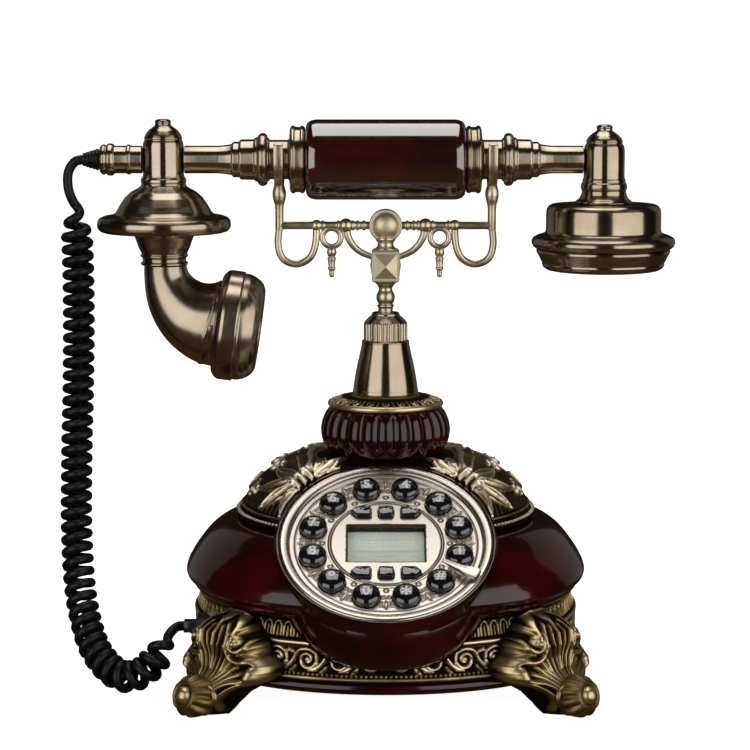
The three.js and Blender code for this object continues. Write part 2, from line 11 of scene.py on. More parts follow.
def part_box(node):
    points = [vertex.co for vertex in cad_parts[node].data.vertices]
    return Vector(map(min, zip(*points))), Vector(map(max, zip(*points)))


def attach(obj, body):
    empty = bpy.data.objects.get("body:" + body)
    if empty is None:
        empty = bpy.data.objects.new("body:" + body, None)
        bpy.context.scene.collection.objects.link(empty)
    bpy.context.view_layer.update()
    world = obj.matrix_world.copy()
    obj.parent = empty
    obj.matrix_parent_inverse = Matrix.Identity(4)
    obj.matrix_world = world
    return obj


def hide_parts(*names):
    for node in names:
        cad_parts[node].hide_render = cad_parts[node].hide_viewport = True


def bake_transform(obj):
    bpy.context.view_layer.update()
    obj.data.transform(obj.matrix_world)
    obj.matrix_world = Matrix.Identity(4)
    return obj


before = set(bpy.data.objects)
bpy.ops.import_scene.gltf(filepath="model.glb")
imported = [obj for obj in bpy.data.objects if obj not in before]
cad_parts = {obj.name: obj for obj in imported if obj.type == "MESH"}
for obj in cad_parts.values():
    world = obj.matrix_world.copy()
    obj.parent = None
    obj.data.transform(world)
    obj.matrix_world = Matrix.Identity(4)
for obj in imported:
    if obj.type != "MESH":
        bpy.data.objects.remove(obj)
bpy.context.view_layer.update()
MM = 0.001

# ---- Places read from the frame, in millimetres ----


def span(node, axis):
    """Lowest and highest value of a CAD node along an axis, in millimetres."""
    low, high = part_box(node)
    return low[axis] / MM, high[axis] / MM


def middle(node, axis):
    return sum(span(node, axis)) / 2


X, Y, Z = range(3)
STEM_Y = middle("stem_bell", Y)
HANDSET_Z = middle("grip_sleeve", Z)
TRANSMITTER_X = middle("transmitter_head", X)
RECEIVER_X = middle("receiver_head", X)
BARREL_RADIUS = 8.85  # upright barrel of either head
BAR_Z = 196.0  # crossbar of the cradle
FORK_X = 46.0
DIAL_TILT = math.radians(35)
DIAL_CENTRE = Vector((0, STEM_Y - 58, 67.7))
KEY_CIRCLE = 31.6  # radius of the ring of number keys
BASE_HALF = span("body_shell", X)[1]
SIDE_RADIUS = 115.0  # of a bowed side, in plan
HORN_BEND = 25.5
HORN_SWEEP = math.radians(82)
HORN_TOP = 178.6

# ---- Camera, in metres ----
CAMERA_PLACE = (-0.0046, STEM_Y * MM - 1.1, 0.2807)
CAMERA_DROP = 7.77  # degrees below level
SENSOR_WIDTH, FOCAL_LENGTH = 36, 122


def link_object(name, data):
    obj = bpy.data.objects.new(name, data)
    bpy.context.scene.collection.objects.link(obj)
    return obj


def make_camera():
    data = bpy.data.cameras.new("camera")
    data.sensor_width, data.lens = SENSOR_WIDTH, FOCAL_LENGTH
    data.clip_start, data.clip_end = 0.05, 30
    camera = link_object("camera", data)
    camera.location = CAMERA_PLACE
    camera.rotation_euler = (math.radians(90 - CAMERA_DROP), 0, 0)
    bpy.context.scene.camera = camera


make_camera()

# ---- Mesh helpers ----


def raw_object(name, vertices, faces, material, place):
    """A mesh as given, from millimetre vertices, moved to its place."""
    mesh = bpy.data.meshes.new(name)
    mesh.from_pydata((np.asarray(vertices, float) * MM).tolist(), [], [list(f) for f in faces])
    if place is not None:
        mesh.transform(Matrix.Translation(place.translation * MM) @ place.to_3x3().to_4x4())
    if material:
        mesh.materials.append(material)
    return link_object(name, mesh)


def new_object(name, vertices, faces, material=None, place=None, sharp=40):
    """A clean smooth-shaded mesh from millimetre vertices."""
    obj = raw_object(name, vertices, faces, material, place)
    clean(obj.data)
    obj.data.set_sharp_from_angle(angle=math.radians(sharp))
    return obj


def clean(mesh, merge=1e-7):
    """Merges doubled vertices unless merge is 0, turns every face outward and shades it smooth."""
    work = bmesh.new()
    work.from_mesh(mesh)
    if merge:
        bmesh.ops.remove_doubles(work, verts=work.verts, dist=merge)
        bmesh.ops.dissolve_degenerate(work, edges=work.edges, dist=merge)
    bmesh.ops.recalc_face_normals(work, faces=work.faces)
    for face in work.faces:
        face.smooth = True
    work.to_mesh(mesh)
    work.free()


def bearings(count):
    return np.linspace(0, 2 * math.pi, count, endpoint=False)


def ring(radius, z, count):
    """Points round the z axis; radius is a number or one for each point."""
    angles = bearings(count)
    return np.column_stack([radius * np.cos(angles), radius * np.sin(angles), np.full(count, z)])


def grid_faces(rows, columns, wrap_rows=False, wrap_columns=True):
    faces = []
    for i in range(rows if wrap_rows else rows - 1):
        k = (i + 1) % rows
        for j in range(columns if wrap_columns else columns - 1):
            n = (j + 1) % columns
            faces.append((i * columns + j, i * columns + n, k * columns + n, k * columns + j))
    return faces


def capped_faces(rows, columns):
    """Faces of rings of points, closed at both ends."""
    last = (rows - 1) * columns
    return grid_faces(rows, columns) + [tuple(range(columns)), tuple(range(last, last + columns))]


def rounded(points, radius=0.5, steps=3, closed=False):
    """The outline with each corner rounded by a small arc."""
    path = [np.array(p, float) for p in points]
    result = []
    count = len(path)
    for i, corner in enumerate(path):
        if not closed and i in (0, count - 1):
            result.append(corner)
            continue
        before, after = path[i - 1] - corner, path[(i + 1) % count] - corner
        reach = min(radius, np.linalg.norm(before) * 0.45, np.linalg.norm(after) * 0.45)
        start = corner + before / max(np.linalg.norm(before), 1e-9) * reach
        end = corner + after / max(np.linalg.norm(after), 1e-9) * reach
        for step in range(steps + 1):
            t = step / steps
            result.append((1 - t) ** 2 * start + 2 * t * (1 - t) * corner + t * t * end)
    return np.array(result)


def curve_through(points, count):
    """Catmull-Rom samples through points, evenly spread by parameter."""
    p = np.array(points, float)
    p = np.vstack([2 * p[0] - p[1], p, 2 * p[-1] - p[-2]])
    result = []
    pieces = len(p) - 3
    for t in np.linspace(0, pieces - 1e-9, count):
        i, f = int(t), t - int(t)
        a, b, c, d = p[i : i + 4]
        result.append(0.5 * (2 * b + (c - a) * f + (2 * a - 5 * b + 4 * c - d) * f**2 + (3 * b - a - 3 * c + d) * f**3))
    return np.array(result)


def lathe_points(profile, segments, turn=None):
    """Vertices of a turned profile; turn(angle, radius, z) may change a radius."""
    rows = []
    for radius, z in profile:
        radii = np.full(segments, radius, float)
        rows.append(ring(turn(bearings(segments), radii, z) if turn else radii, z, segments))
    return np.vstack(rows)


def lathe(name, profile, material, segments=96, place=None, corner=0.5, closed=False, turn=None, sharp=40):
    """A turned piece from [radius, z] points; an open profile starts and ends on the axis."""
    outline = rounded(profile, corner, closed=closed) if corner else np.array(profile, float)
    points = lathe_points(outline, segments, turn)
    faces = grid_faces(len(outline), segments, wrap_rows=closed)
    return new_object(name, points, faces, material, place, sharp)


def axis_frames(path):
    """Tangent and two normals along a path, with no twist."""
    tangents = np.gradient(path, axis=0)
    tangents /= np.linalg.norm(tangents, axis=1)[:, None]
    side = np.cross(tangents[0], [0, 0, 1.0])
    if np.linalg.norm(side) < 0.1:
        side = np.cross(tangents[0], [0, 1.0, 0])
    sides = []
    for tangent in tangents:
        side = side - tangent * (side @ tangent)
        side = side / np.linalg.norm(side)
        sides.append(side)
    sides = np.array(sides)
    return tangents, sides, np.cross(tangents, sides)


def tube_points(path, radius, sides=12):
    """Rings of a tube along path; radius is a number or one for each point."""
    path = np.array(path, float)
    radii = np.broadcast_to(radius, (len(path),))
    _, first, second = axis_frames(path)
    rings = []
    for angle in bearings(sides):
        offset = first * math.cos(angle) + second * math.sin(angle)
        rings.append(path + offset * radii[:, None])
    return np.stack(rings, axis=1).reshape(-1, 3)


def tube(name, path, radius, material, sides=12):
    return new_object(name, tube_points(path, radius, sides), capped_faces(len(path), sides), material)


def ball(name, centre, radius, material, segments=32):
    angles = np.linspace(-math.pi / 2, math.pi / 2, segments // 2 + 1)
    profile = [(radius * math.cos(a), radius * math.sin(a)) for a in angles]
    points = lathe_points(profile, segments) + np.array(centre)
    return new_object(name, points, grid_faces(len(profile), segments), material)


def join(name, objects, material=None, sharp=40):
    """One object from several, each a closed body of it."""
    work = bmesh.new()
    materials = []
    for obj in objects:
        first = len(work.faces)
        work.from_mesh(obj.data)
        work.faces.ensure_lookup_table()
        own = obj.data.materials[0] if obj.data.materials else material
        if own not in materials:
            materials.append(own)
        for face in work.faces[first:]:
            face.material_index = materials.index(own)
    mesh = bpy.data.meshes.new(name)
    work.to_mesh(mesh)
    work.free()
    for own in materials:
        mesh.materials.append(own)
    for obj in objects:
        bpy.data.objects.remove(obj)
    mesh.set_sharp_from_angle(angle=math.radians(sharp))
    return link_object(name, mesh)


def boolean(obj, tools, operation="DIFFERENCE"):
    """Cuts tools from a closed mesh, or joins them to it, and removes the tools."""
    for tool in tools:
        modifier = obj.modifiers.new("cut", "BOOLEAN")
        modifier.operation = operation
        modifier.object = tool
        modifier.solver = "EXACT"
    depsgraph = bpy.context.evaluated_depsgraph_get()
    made = bpy.data.meshes.new_from_object(obj.evaluated_get(depsgraph), depsgraph=depsgraph)
    obj.modifiers.clear()
    obj.data = made
    for tool in tools:
        bpy.data.objects.remove(tool)
    for polygon in made.polygons:
        polygon.use_smooth = True
    made.set_sharp_from_angle(angle=math.radians(40))
    return obj


def block(name, size, centre, material=None, bevel=0.4, place=None):
    """A box with rounded edges."""
    work = bmesh.new()
    bmesh.ops.create_cube(work, size=1)
    bmesh.ops.scale(work, verts=work.verts, vec=size)
    bmesh.ops.translate(work, verts=work.verts, vec=centre)
    if bevel:
        bmesh.ops.bevel(work, geom=work.edges, offset=bevel, segments=3, profile=0.5, affect="EDGES")
    return from_work(name, work, material, place)


def from_work(name, work, material, place):
    """A new object from a bmesh in millimetres, which is freed."""
    work.verts.index_update()
    points = [v.co[:] for v in work.verts]
    faces = [[v.index for v in f.verts] for f in work.faces]
    work.free()
    return new_object(name, points, faces, material, place)


def prism(name, outline, low, high, material=None, bevel=0.4, place=None):
    """An extruded outline with its top edge rounded."""
    base = np.array(outline, float)
    centre = base.mean(axis=0)
    levels = [(low, 0), (high - bevel, 0), (high - bevel * 0.3, bevel * 0.3), (high, bevel)]
    rows = []
    for z, inset in levels:
        offset = base - centre
        length = np.linalg.norm(offset, axis=1)[:, None]
        rows.append(np.column_stack([centre + offset * (1 - inset / length), np.full(len(base), z)]))
    return new_object(name, np.vstack(rows), capped_faces(len(levels), len(base)), material, place)


# ---- Relief: a height map drawn with round strokes, then lifted onto a surface ----


class Relief:
    """Heights in millimetres over a width by height strip; the strip may wrap round."""

    def __init__(self, width, height, step=0.3, wrap=True):
        self.width, self.height, self.step, self.wrap = width, height, step, wrap
        self.columns = int(round(width / step))
        self.rows = int(round(height / step)) + 1
        self.map = np.zeros((self.rows, self.columns))

    def stamp(self, x, y, radius, height, power=0.5):
        reach = int(radius / self.step) + 1
        cx, cy = x / self.step, y / self.step
        columns = np.arange(int(cx) - reach, int(cx) + reach + 2)
        rows = np.arange(max(0, int(cy) - reach), min(self.rows, int(cy) + reach + 2))
        if not self.wrap:
            columns = columns[(columns >= 0) & (columns < self.columns)]
        if not len(rows) or not len(columns):
            return
        dx = (columns - cx) * self.step / radius
        dy = (rows - cy) * self.step / radius
        fall = np.clip(1 - dx[None, :] ** 2 - dy[:, None] ** 2, 0, 1) ** power * height
        patch = np.ix_(rows, columns % self.columns)
        self.map[patch] = np.maximum(self.map[patch], fall)

    def stroke(self, points, start, end, height, power=0.5):
        """A raised line whose half-width runs from start to end."""
        points = np.array(points, float)
        lengths = np.concatenate([[0], np.cumsum(np.linalg.norm(np.diff(points, axis=0), axis=1))])
        count = max(2, int(lengths[-1] / (self.step * 0.9)))
        for s in np.linspace(0, lengths[-1], count):
            x, y = np.interp(s, lengths, points[:, 0]), np.interp(s, lengths, points[:, 1])
            t = s / max(lengths[-1], 1e-9)
            self.stamp(x, y, start + (end - start) * t, height, power)

    def scroll(self, x, y, radius, turn, hand, turns, width, height):
        """A spiral that winds in to a round eye."""
        t = np.linspace(0, 1, 40)
        angle = turn + hand * t * turns * 2 * math.pi
        reach = radius * (1 - 0.82 * t)
        points = np.column_stack([x + reach * np.cos(angle), y + reach * np.sin(angle)])
        self.stroke(points, width, width * 0.55, height)
        self.stamp(x, y, width * 1.15, height * 1.15)

    def leaf(self, x, y, angle, length, width, height, bend, ribs):
        """A pointed leaf with a midrib and side ribs."""
        t = np.linspace(0, 1, 24)
        heading = angle + bend * t
        step = length / 24
        points = np.column_stack([x + np.cumsum(np.cos(heading)) * step, y + np.cumsum(np.sin(heading)) * step])
        half = width * np.sin(np.pi * np.clip(t * 0.86 + 0.12, 0, 1))
        for (px, py), r in zip(points, half):
            self.stamp(px, py, max(r, 0.4), height * 0.62, 0.6)
        self.stroke(points, 0.42, 0.25, height)
        for k in range(1, ribs + 1):
            start = points[int(k * 20 / (ribs + 1))]
            for side in (-1, 1):
                tip = angle + bend * 0.5 + side * 0.62
                reach = width * 1.15
                end = start + reach * np.array([math.cos(tip), math.sin(tip)])
                self.stroke([start, end], 0.32, 0.25, height * 0.85)

    def blade(self, x, y, angle, length, width, height, bend=0.0):
        """A long pointed leaf with raised edges and a midrib."""
        t = np.linspace(0, 1, 60)
        heading = angle + bend * t
        step = length / len(t)
        spine = np.column_stack([x + np.cumsum(np.cos(heading)) * step, y + np.cumsum(np.sin(heading)) * step])
        half = width * np.sin(np.pi * t**0.75) ** 0.8
        across = np.column_stack([-np.sin(heading), np.cos(heading)])
        for point, reach in zip(spine, half):
            self.stamp(*point, max(reach, 0.4), height * 0.45, 0.3)
        for side in (-1, 1):
            self.stroke(spine + side * across * half[:, None], 0.62, 0.5, height * 0.82)
        self.stroke(spine, 0.65, 0.45, height)

    def sample(self, x, y):
        """Heights between the map's points."""
        cx = np.asarray(x) / self.step
        cy = np.clip(np.asarray(y) / self.step, 0, self.rows - 1.001)
        i, j = np.floor(cy).astype(int), np.floor(cx).astype(int)
        fy, fx = cy - i, cx - j
        if self.wrap:
            a, b = j % self.columns, (j + 1) % self.columns
        else:
            a, b = np.clip(j, 0, self.columns - 1), np.clip(j + 1, 0, self.columns - 1)
        low = self.map[i, a] * (1 - fx) + self.map[i, b] * fx
        high = self.map[i + 1, a] * (1 - fx) + self.map[i + 1, b] * fx
        return low * (1 - fy) + high * fy


def mirrored(x, hand, base=0):
    """Places and bearings for a design that runs right or left of x, as two functions."""
    def at(dx, y):
        return x + hand * dx, y + base

    def turn(degrees):
        return math.pi / 2 - hand * (math.pi / 2 - math.radians(degrees))

    return at, turn


def bowed_reach(angle):
    """Distance to the plan outline of a bowed square of half-width 1."""
    bow = SIDE_RADIUS / BASE_HALF
    offset = bow - 1
    near = np.mod(angle, math.pi / 2)

    def arc(turn):
        return -offset * np.cos(turn) + np.sqrt(bow**2 - (offset * np.sin(turn)) ** 2)

    return (arc(near) ** -20.0 + arc(near - math.pi / 2) ** -20.0) ** (-1 / 20.0)


# ---- Materials ----


class Finish:
    """A principled material with short calls for noise, colour, roughness and bump."""

    def __init__(self, name, **sockets):
        self.material = bpy.data.materials.new(name)
        self.material.use_nodes = True
        self.tree = self.material.node_tree
        self.shader = self.tree.nodes["Principled BSDF"]
        for socket, value in sockets.items():
            self.shader.inputs[socket.replace("_", " ")].default_value = value
        self.coordinates = self.node("ShaderNodeTexCoord").outputs["Object"]

    def node(self, kind, **values):
        node = self.tree.nodes.new(kind)
        for key, value in values.items():
            if key in node.inputs:
                self.put(node.inputs[key], value)
            else:
                setattr(node, key, value)
        return node

    def put(self, socket, value):
        if isinstance(value, bpy.types.NodeSocket):
            self.tree.links.new(value, socket)
        else:
            socket.default_value = value

    def noise(self, scale, detail=4, stretch=(1, 1, 1), distortion=0.0):
        mapping = self.node("ShaderNodeMapping", Vector=self.coordinates, Scale=stretch)
        noise = self.node("ShaderNodeTexNoise", Vector=mapping.outputs[0], Scale=scale, Detail=detail,
                          Distortion=distortion)
        return noise.outputs["Fac"]

    def ramp(self, factor, *stops):
        """Colours or greys between positions; each stop is (position, value)."""
        node = self.node("ShaderNodeValToRGB", Fac=factor)
        elements = node.color_ramp.elements
        while len(elements) < len(stops):
            elements.new(0.5)
        for element, (position, value) in zip(elements, stops):
            element.position = position
            element.color = (*value, 1) if isinstance(value, tuple) else (value, value, value, 1)
        return node.outputs["Color"]

    def mix(self, factor, first, second, blend="MIX"):
        node = self.node("ShaderNodeMix", data_type="RGBA", blend_type=blend)
        self.put(node.inputs[0], factor)
        for socket, value in ((node.inputs[6], first), (node.inputs[7], second)):
            self.put(socket, (*value, 1) if isinstance(value, tuple) else value)
        return node.outputs[2]

    def attribute(self, name):
        return self.node("ShaderNodeAttribute", attribute_name=name).outputs["Fac"]

    def bump(self, height, strength=0.2, distance=0.0002):
        node = self.node("ShaderNodeBump", Height=height, Strength=strength, Distance=distance)
        self.put(self.shader.inputs["Normal"], node.outputs[0])
        return self

    def color(self, value):
        self.put(self.shader.inputs["Base Color"], value)
        return self

    def roughness(self, factor, low, high):
        self.put(self.shader.inputs["Roughness"], self.ramp(factor, (0.25, low), (0.75, high)))
        return self


def lacquer(name, depth, coat, coat_ior, level):
    """Deep red lacquer with a soft cloud in its colour; depth lifts the colour."""
    f = Finish(name, Coat_Weight=coat, Coat_Roughness=0.04, Coat_IOR=coat_ior, Specular_IOR_Level=level)
    cloud = f.noise(26, 3, distortion=0.6)
    shades = ((0.3, (0.009, 0.0004, 0.0006)), (0.52, (0.024, 0.0009, 0.0012)), (0.78, (0.07, 0.0024, 0.0022)))
    f.color(f.ramp(cloud, *((at, tuple(c * depth for c in shade)) for at, shade in shades)))
    f.roughness(f.noise(180, 5), 0.1, 0.2)
    return f.bump(f.noise(420, 2), 0.05).material


def plated(name, dark, light, low, high, axis=None, brush=0.12, grain=0.04):
    """Antique plated metal: a clouded brown-gold tone, brushed round its turning axis."""
    f = Finish(name, Metallic=1.0)
    stretch = (1, 1, 1)
    if axis:
        f.shader.inputs["Anisotropic"].default_value = 0.8
        f.shader.inputs["Anisotropic Rotation"].default_value = 0.25
        tangent = f.node("ShaderNodeTangent", direction_type="RADIAL", axis=axis)
        f.put(f.shader.inputs["Tangent"], tangent.outputs[0])
        stretch = tuple(10.0 if letter == axis else 1.0 for letter in "XYZ")
    cloud = f.noise(38, 4, distortion=0.4)
    brushing = f.noise(260, 3, stretch)
    tone = f.ramp(cloud, (0.3, dark), (0.72, light))
    f.color(f.mix(brush, tone, f.ramp(brushing, (0.3, 0.35), (0.7, 1.0)), "MULTIPLY"))
    f.roughness(brushing, low, high)
    return f.bump(brushing, grain, 0.0001).material


def casting(name, gold, pale, black=(0.012, 0.009, 0.006), brown=(0.11, 0.075, 0.033), wear=0.32):
    """Antiqued casting: a dark wash in the hollows, rubbed metal on the raised work."""
    f = Finish(name, Metallic=1.0)
    relief = f.attribute("relief")
    cloud = f.noise(95, 5)
    worn = f.mix(wear, f.ramp(relief, (0.0, 0.0), (1.0, 1.0)), f.ramp(cloud, (0.3, 0.0), (0.7, 1.0)), "OVERLAY")
    f.color(f.ramp(worn, (0.12, black), (0.34, brown), (0.6, gold), (0.88, pale)))
    f.put(f.shader.inputs["Roughness"], f.ramp(worn, (0.1, 0.72), (0.7, 0.34)))
    return f.bump(f.noise(900, 4), 0.16).material


def plastic(name, color, low, high, coat=0.0, shine=0.5):
    """Moulded plastic; low and high are its roughness."""
    f = Finish(name, Coat_Weight=coat, Coat_Roughness=0.05, Specular_IOR_Level=shine)
    grain = f.noise(240, 4)
    shade = tuple(c * 0.8 for c in color)
    f.color(f.ramp(grain, (0.3, shade), (0.7, color)))
    f.roughness(grain, low, high)
    return f.bump(f.noise(1500, 3), 0.08, 0.00008).material


def rubber():
    f = Finish("rubber", Specular_IOR_Level=0.32)
    grain = f.noise(700, 5)
    f.color(f.ramp(grain, (0.3, (0.003, 0.003, 0.004)), (0.75, (0.009, 0.009, 0.011))))
    f.roughness(grain, 0.3, 0.46)
    return f.bump(grain, 0.12).material


def screen():
    f = Finish("screen", Specular_IOR_Level=0.3)
    wash = f.noise(60, 2)
    rows = f.node("ShaderNodeTexWave", Vector=f.coordinates, Scale=420.0, bands_direction="Z").outputs["Fac"]
    base = f.ramp(wash, (0.3, (0.52, 0.57, 0.49)), (0.7, (0.60, 0.64, 0.55)))
    f.color(f.mix(0.05, base, rows, "MULTIPLY"))
    return f.roughness(wash, 0.35, 0.45).material


def clear():
    f = Finish("clear_window", Transmission_Weight=1.0, IOR=1.3)
    f.roughness(f.noise(300, 3), 0.0, 0.03)
    return f.color(f.ramp(f.noise(20, 2), (0.3, (0.93, 0.96, 0.93)), (0.7, (0.97, 0.98, 0.97)))).material


def circuit():
    f = Finish("circuit_board")
    brick = f.node("ShaderNodeTexBrick", Vector=f.coordinates, Scale=180.0, Color1=(0.012, 0.09, 0.03, 1),
                   Color2=(0.016, 0.12, 0.045, 1), Mortar=(0.25, 0.2, 0.08, 1))
    f.color(brick.outputs["Color"])
    return f.roughness(f.noise(200, 3), 0.35, 0.55).material


LACQUER = lacquer("lacquer", 1.0, 0.5, 1.5, 0.35)
GRIP_LACQUER = lacquer("grip_lacquer", 1.1, 0.9, 2.4, 1.0)
BRONZE_TONES = (0.35, 0.275, 0.185), (0.56, 0.475, 0.37)
BRONZE_UPRIGHT = plated("bronze_upright", *BRONZE_TONES, 0.17, 0.24, "Z")
BRONZE_LEVEL = plated("bronze_level", *BRONZE_TONES, 0.2, 0.27, "X")
BRONZE = plated("bronze", *BRONZE_TONES, 0.19, 0.27)
SATIN = plated("satin_brass", (0.56, 0.465, 0.31), (0.88, 0.78, 0.58), 0.26, 0.38)
# A brighter, rougher copy of the satin brass: its brighter colour paints light on the block, studs and medal.
SATIN_PAINTED_LIGHT = plated("satin_brass_painted_light", (0.78, 0.68, 0.47), (0.97, 0.89, 0.68), 0.44, 0.54)
CHAMPAGNE = plated("champagne", (0.56, 0.50, 0.43), (0.66, 0.60, 0.53), 0.24, 0.28, brush=0.02, grain=0.006)
GOLD = casting("cast_gold", (0.50, 0.36, 0.155), (0.88, 0.745, 0.47))
PALE = casting("cast_pale", (0.50, 0.385, 0.215), (0.90, 0.81, 0.64))
ANTIQUE = casting("cast_antique", (0.27, 0.185, 0.07), (0.64, 0.51, 0.28))
DIAL_METAL = casting("dial_metal", (0.48, 0.42, 0.35), (0.60, 0.545, 0.485), (0.15, 0.115, 0.075), (0.30, 0.25, 0.19),
                     0.0)
BLACK = plastic("black_plastic", (0.007, 0.007, 0.010), 0.06, 0.12, coat=1.0, shine=1.0)
GREY = plastic("grey_plastic", (0.045, 0.045, 0.048), 0.45, 0.6)
PLUG = plastic("plug_plastic", (0.02, 0.02, 0.022), 0.12, 0.25, coat=0.4)
INK = plastic("white_ink", (0.86, 0.87, 0.88), 0.35, 0.5)
# Painted shade: a near-black plastic for the frame that stands in for the shade on the display recess walls.
SHADOW = plastic("painted_recess_shade", (0.006, 0.005, 0.005), 0.5, 0.7)
GHOST = plastic("ghost_segment", (0.33, 0.37, 0.31), 0.4, 0.5)
STEEL = plated("steel", (0.30, 0.30, 0.31), (0.52, 0.52, 0.54), 0.25, 0.4)
RUBBER = rubber()
SCREEN = screen()
CLEAR = clear()
CIRCUIT = circuit()

STEM = Matrix.Translation((0, STEM_Y, 0))
DIAL = Matrix.Translation(DIAL_CENTRE) @ Matrix.Rotation(DIAL_TILT, 4, "X")
AXIAL_RIGHT = Matrix.Translation((0, STEM_Y, HANDSET_Z)) @ Matrix.Rotation(math.pi / 2, 4, "Y")
AXIAL_LEFT = Matrix.Translation((0, STEM_Y, HANDSET_Z)) @ Matrix.Rotation(-math.pi / 2, 4, "Y")
TRANSMITTER = Matrix.Translation((TRANSMITTER_X, STEM_Y, 0))
RECEIVER = Matrix.Translation((RECEIVER_X, STEM_Y, 0))


def install(piece, body, slot, *nodes):
    """Puts a finished piece on its body in place of its CAD nodes."""
    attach(piece, body)
    if nodes:
        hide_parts(*nodes)


def turned(name, profile, material, segments, place, node, corner=0.3, closed=False, slot="bronze", body="handset"):
    """A turned piece in place of a CAD node."""
    install(lathe(name, profile, material, segments, place, corner, closed), body, slot, node)


# ---- Handset cord ----
WIRE_RADIUS = 2.1
HELIX_RADIUS = 5.0
PITCH = 5.5
SPINE = [
    (-130.9, 0, 224.5), (-134.4, 0, 223.4), (-137.2, 0, 218.6), (-137.2, 0, 212), (-135.4, 0, 206),
    (-134.4, 0, 201), (-133.6, 0, 184), (-133.4, -1, 160), (-133.8, -3, 130), (-134.6, -7, 95),
    (-134.4, -13, 62), (-131.6, -23, 36), (-124.6, -37, 17.6), (-113.6, -48, 8.8), (-103.6, -51.6, 10.4),
    (-96.2, -50.8, 18), (-92.8, -45, 24.4), (-89.6, -38.4, 27), (-86.4, -35.4, 27),
]
FIRST_TURN = 17  # length along the spine before the first turn
LAST_TURN = 7  # and after the last one
EASE_IN, EASE_OUT = 22, 18  # lengths over which the turns open out
POINTS_PER_TURN = 16


def cord_path():
    """The wire's centreline: a short straight tail, then the coil, then a straight end at the plug."""
    spine = curve_through([(x, y + STEM_Y, z) for x, y, z in SPINE], 4000)
    lengths = np.concatenate([[0], np.cumsum(np.linalg.norm(np.diff(spine, axis=0), axis=1))])
    total = lengths[-1]
    last_turn = total - LAST_TURN
    coil = np.linspace(FIRST_TURN, last_turn, int((last_turn - FIRST_TURN) / PITCH * POINTS_PER_TURN))
    s = np.concatenate([np.linspace(0, FIRST_TURN, 14)[:-1], coil, np.linspace(last_turn, total, 8)[1:]])
    centre = np.column_stack([np.interp(s, lengths, spine[:, i]) for i in range(3)])
    _, first, second = axis_frames(centre)
    rise = np.clip((s - FIRST_TURN) / EASE_IN, 0, 1) * np.clip((last_turn - s) / EASE_OUT, 0, 1)
    ease = rise**2 * (3 - 2 * rise)
    reach = HELIX_RADIUS * ease
    # The turns open out where the coil begins and ends, so the wire never kinks.
    angle = np.cumsum(np.gradient(s) * ease) / PITCH * 2 * math.pi
    return centre + reach[:, None] * (first * np.cos(angle)[:, None] + second * np.sin(angle)[:, None])


def handset_cord():
    path = cord_path()
    piece = tube("handset_cord", path, WIRE_RADIUS, RUBBER)
    boot_profile = [(0, 123.9), (4.6, 123.9), (4.7, 124.8), (4.1, 125.4), (4.3, 126.2), (3.7, 126.8),
                    (3.9, 127.6), (3.3, 128.2), (3.4, 129), (2.9, 129.6), (2.8, 130.8), (0, 130.8)]
    boot = lathe("cord_boot", boot_profile, RUBBER, 48, AXIAL_LEFT, corner=0.25)
    install(boot, "handset", "cord_rubber", "handset_cord_boot")
    low, high = (Vector(corner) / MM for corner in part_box("handset_cord_plug"))
    centre = (low + high) / 2
    plug = join("cord_plug", [block("plug_body", high - low, centre, PLUG, 0.35),
                              block("plug_latch", (5, 2.4, 0.7), centre + Vector((0.8, 0, -2.9)), PLUG, 0.2)])
    install(plug, "base", "black_plastic", "handset_cord_plug")
    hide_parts("handset_cord_tail", "handset_cord_coil")
    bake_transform(piece)


handset_cord()

# ---- Handset ----
BARREL_GAP = 0.3  # between an arm and a head's barrel
HORN_X = TRANSMITTER_X + 0.4


def grip():
    profile = [(9.4, -34.4), (14.6, -34.4), (15.6, -33.9), (16.5, -33), (17, -31.8), (17.3, -30.2), (17.3, 30.2),
               (17, 31.8), (16.5, 33), (15.6, 33.9), (14.6, 34.4), (9.4, 34.4)]
    turned("grip", profile, GRIP_LACQUER, 160, AXIAL_RIGHT, "grip_sleeve", 0.6, True, "lacquer")


def necks():
    profile = [
        (0, 2), (7.7, 2), (7.7, 34.7), (13.6, 34.7), (14.2, 35.1), (14.7, 35.9), (14.5, 36.5), (14.1, 36.8),
        (14.1, 39), (14.6, 39.4), (14.7, 40.2), (14.2, 40.9), (13.2, 41.3), (9.2, 41.6), (8.5, 42.1),
        (8.5, 50), (9.3, 50.4), (9.4, 50.9), (10.4, 51.1), (11.2, 51.8), (11.5, 53), (11.2, 54.2), (10.4, 55),
        (9.6, 55.3), (9.5, 56.2), (8.8, 56.8), (8.7, 62.4), (8.3, 63), (7.7, 63.2), (7.7, 65.6), (7.3, 66.2),
        (6.7, 66.5), (6.3, 69), (6, 72), (6, 80), (6, 90), (0, 90)]
    for name, place, head in (("neck_left", AXIAL_LEFT, TRANSMITTER_X), ("neck_right", AXIAL_RIGHT, RECEIVER_X)):
        end = abs(head) - BARREL_RADIUS - BARREL_GAP
        outline = [(r, min(z, end) if z > 80 else z) for r, z in profile]
        turned(f"{name}_fine", outline, BRONZE_LEVEL, 96, place, name, 0.35)


def gland():
    start = abs(TRANSMITTER_X) + BARREL_RADIUS + BARREL_GAP
    profile = [(0, start), (6, start), (6, 110), (6.5, 110.3), (6.5, 111.4), (6, 111.7), (6, 117), (6.6, 117.4),
               (7, 118.2), (7, 119.6), (6.6, 120.2), (6.1, 120.5), (6.6, 121.4), (6.5, 122.3), (5.6, 123.2), (4, 123.6),
               (0, 123.6)]
    turned("gland", profile, BRONZE_LEVEL, 80, AXIAL_LEFT, "cord_gland")


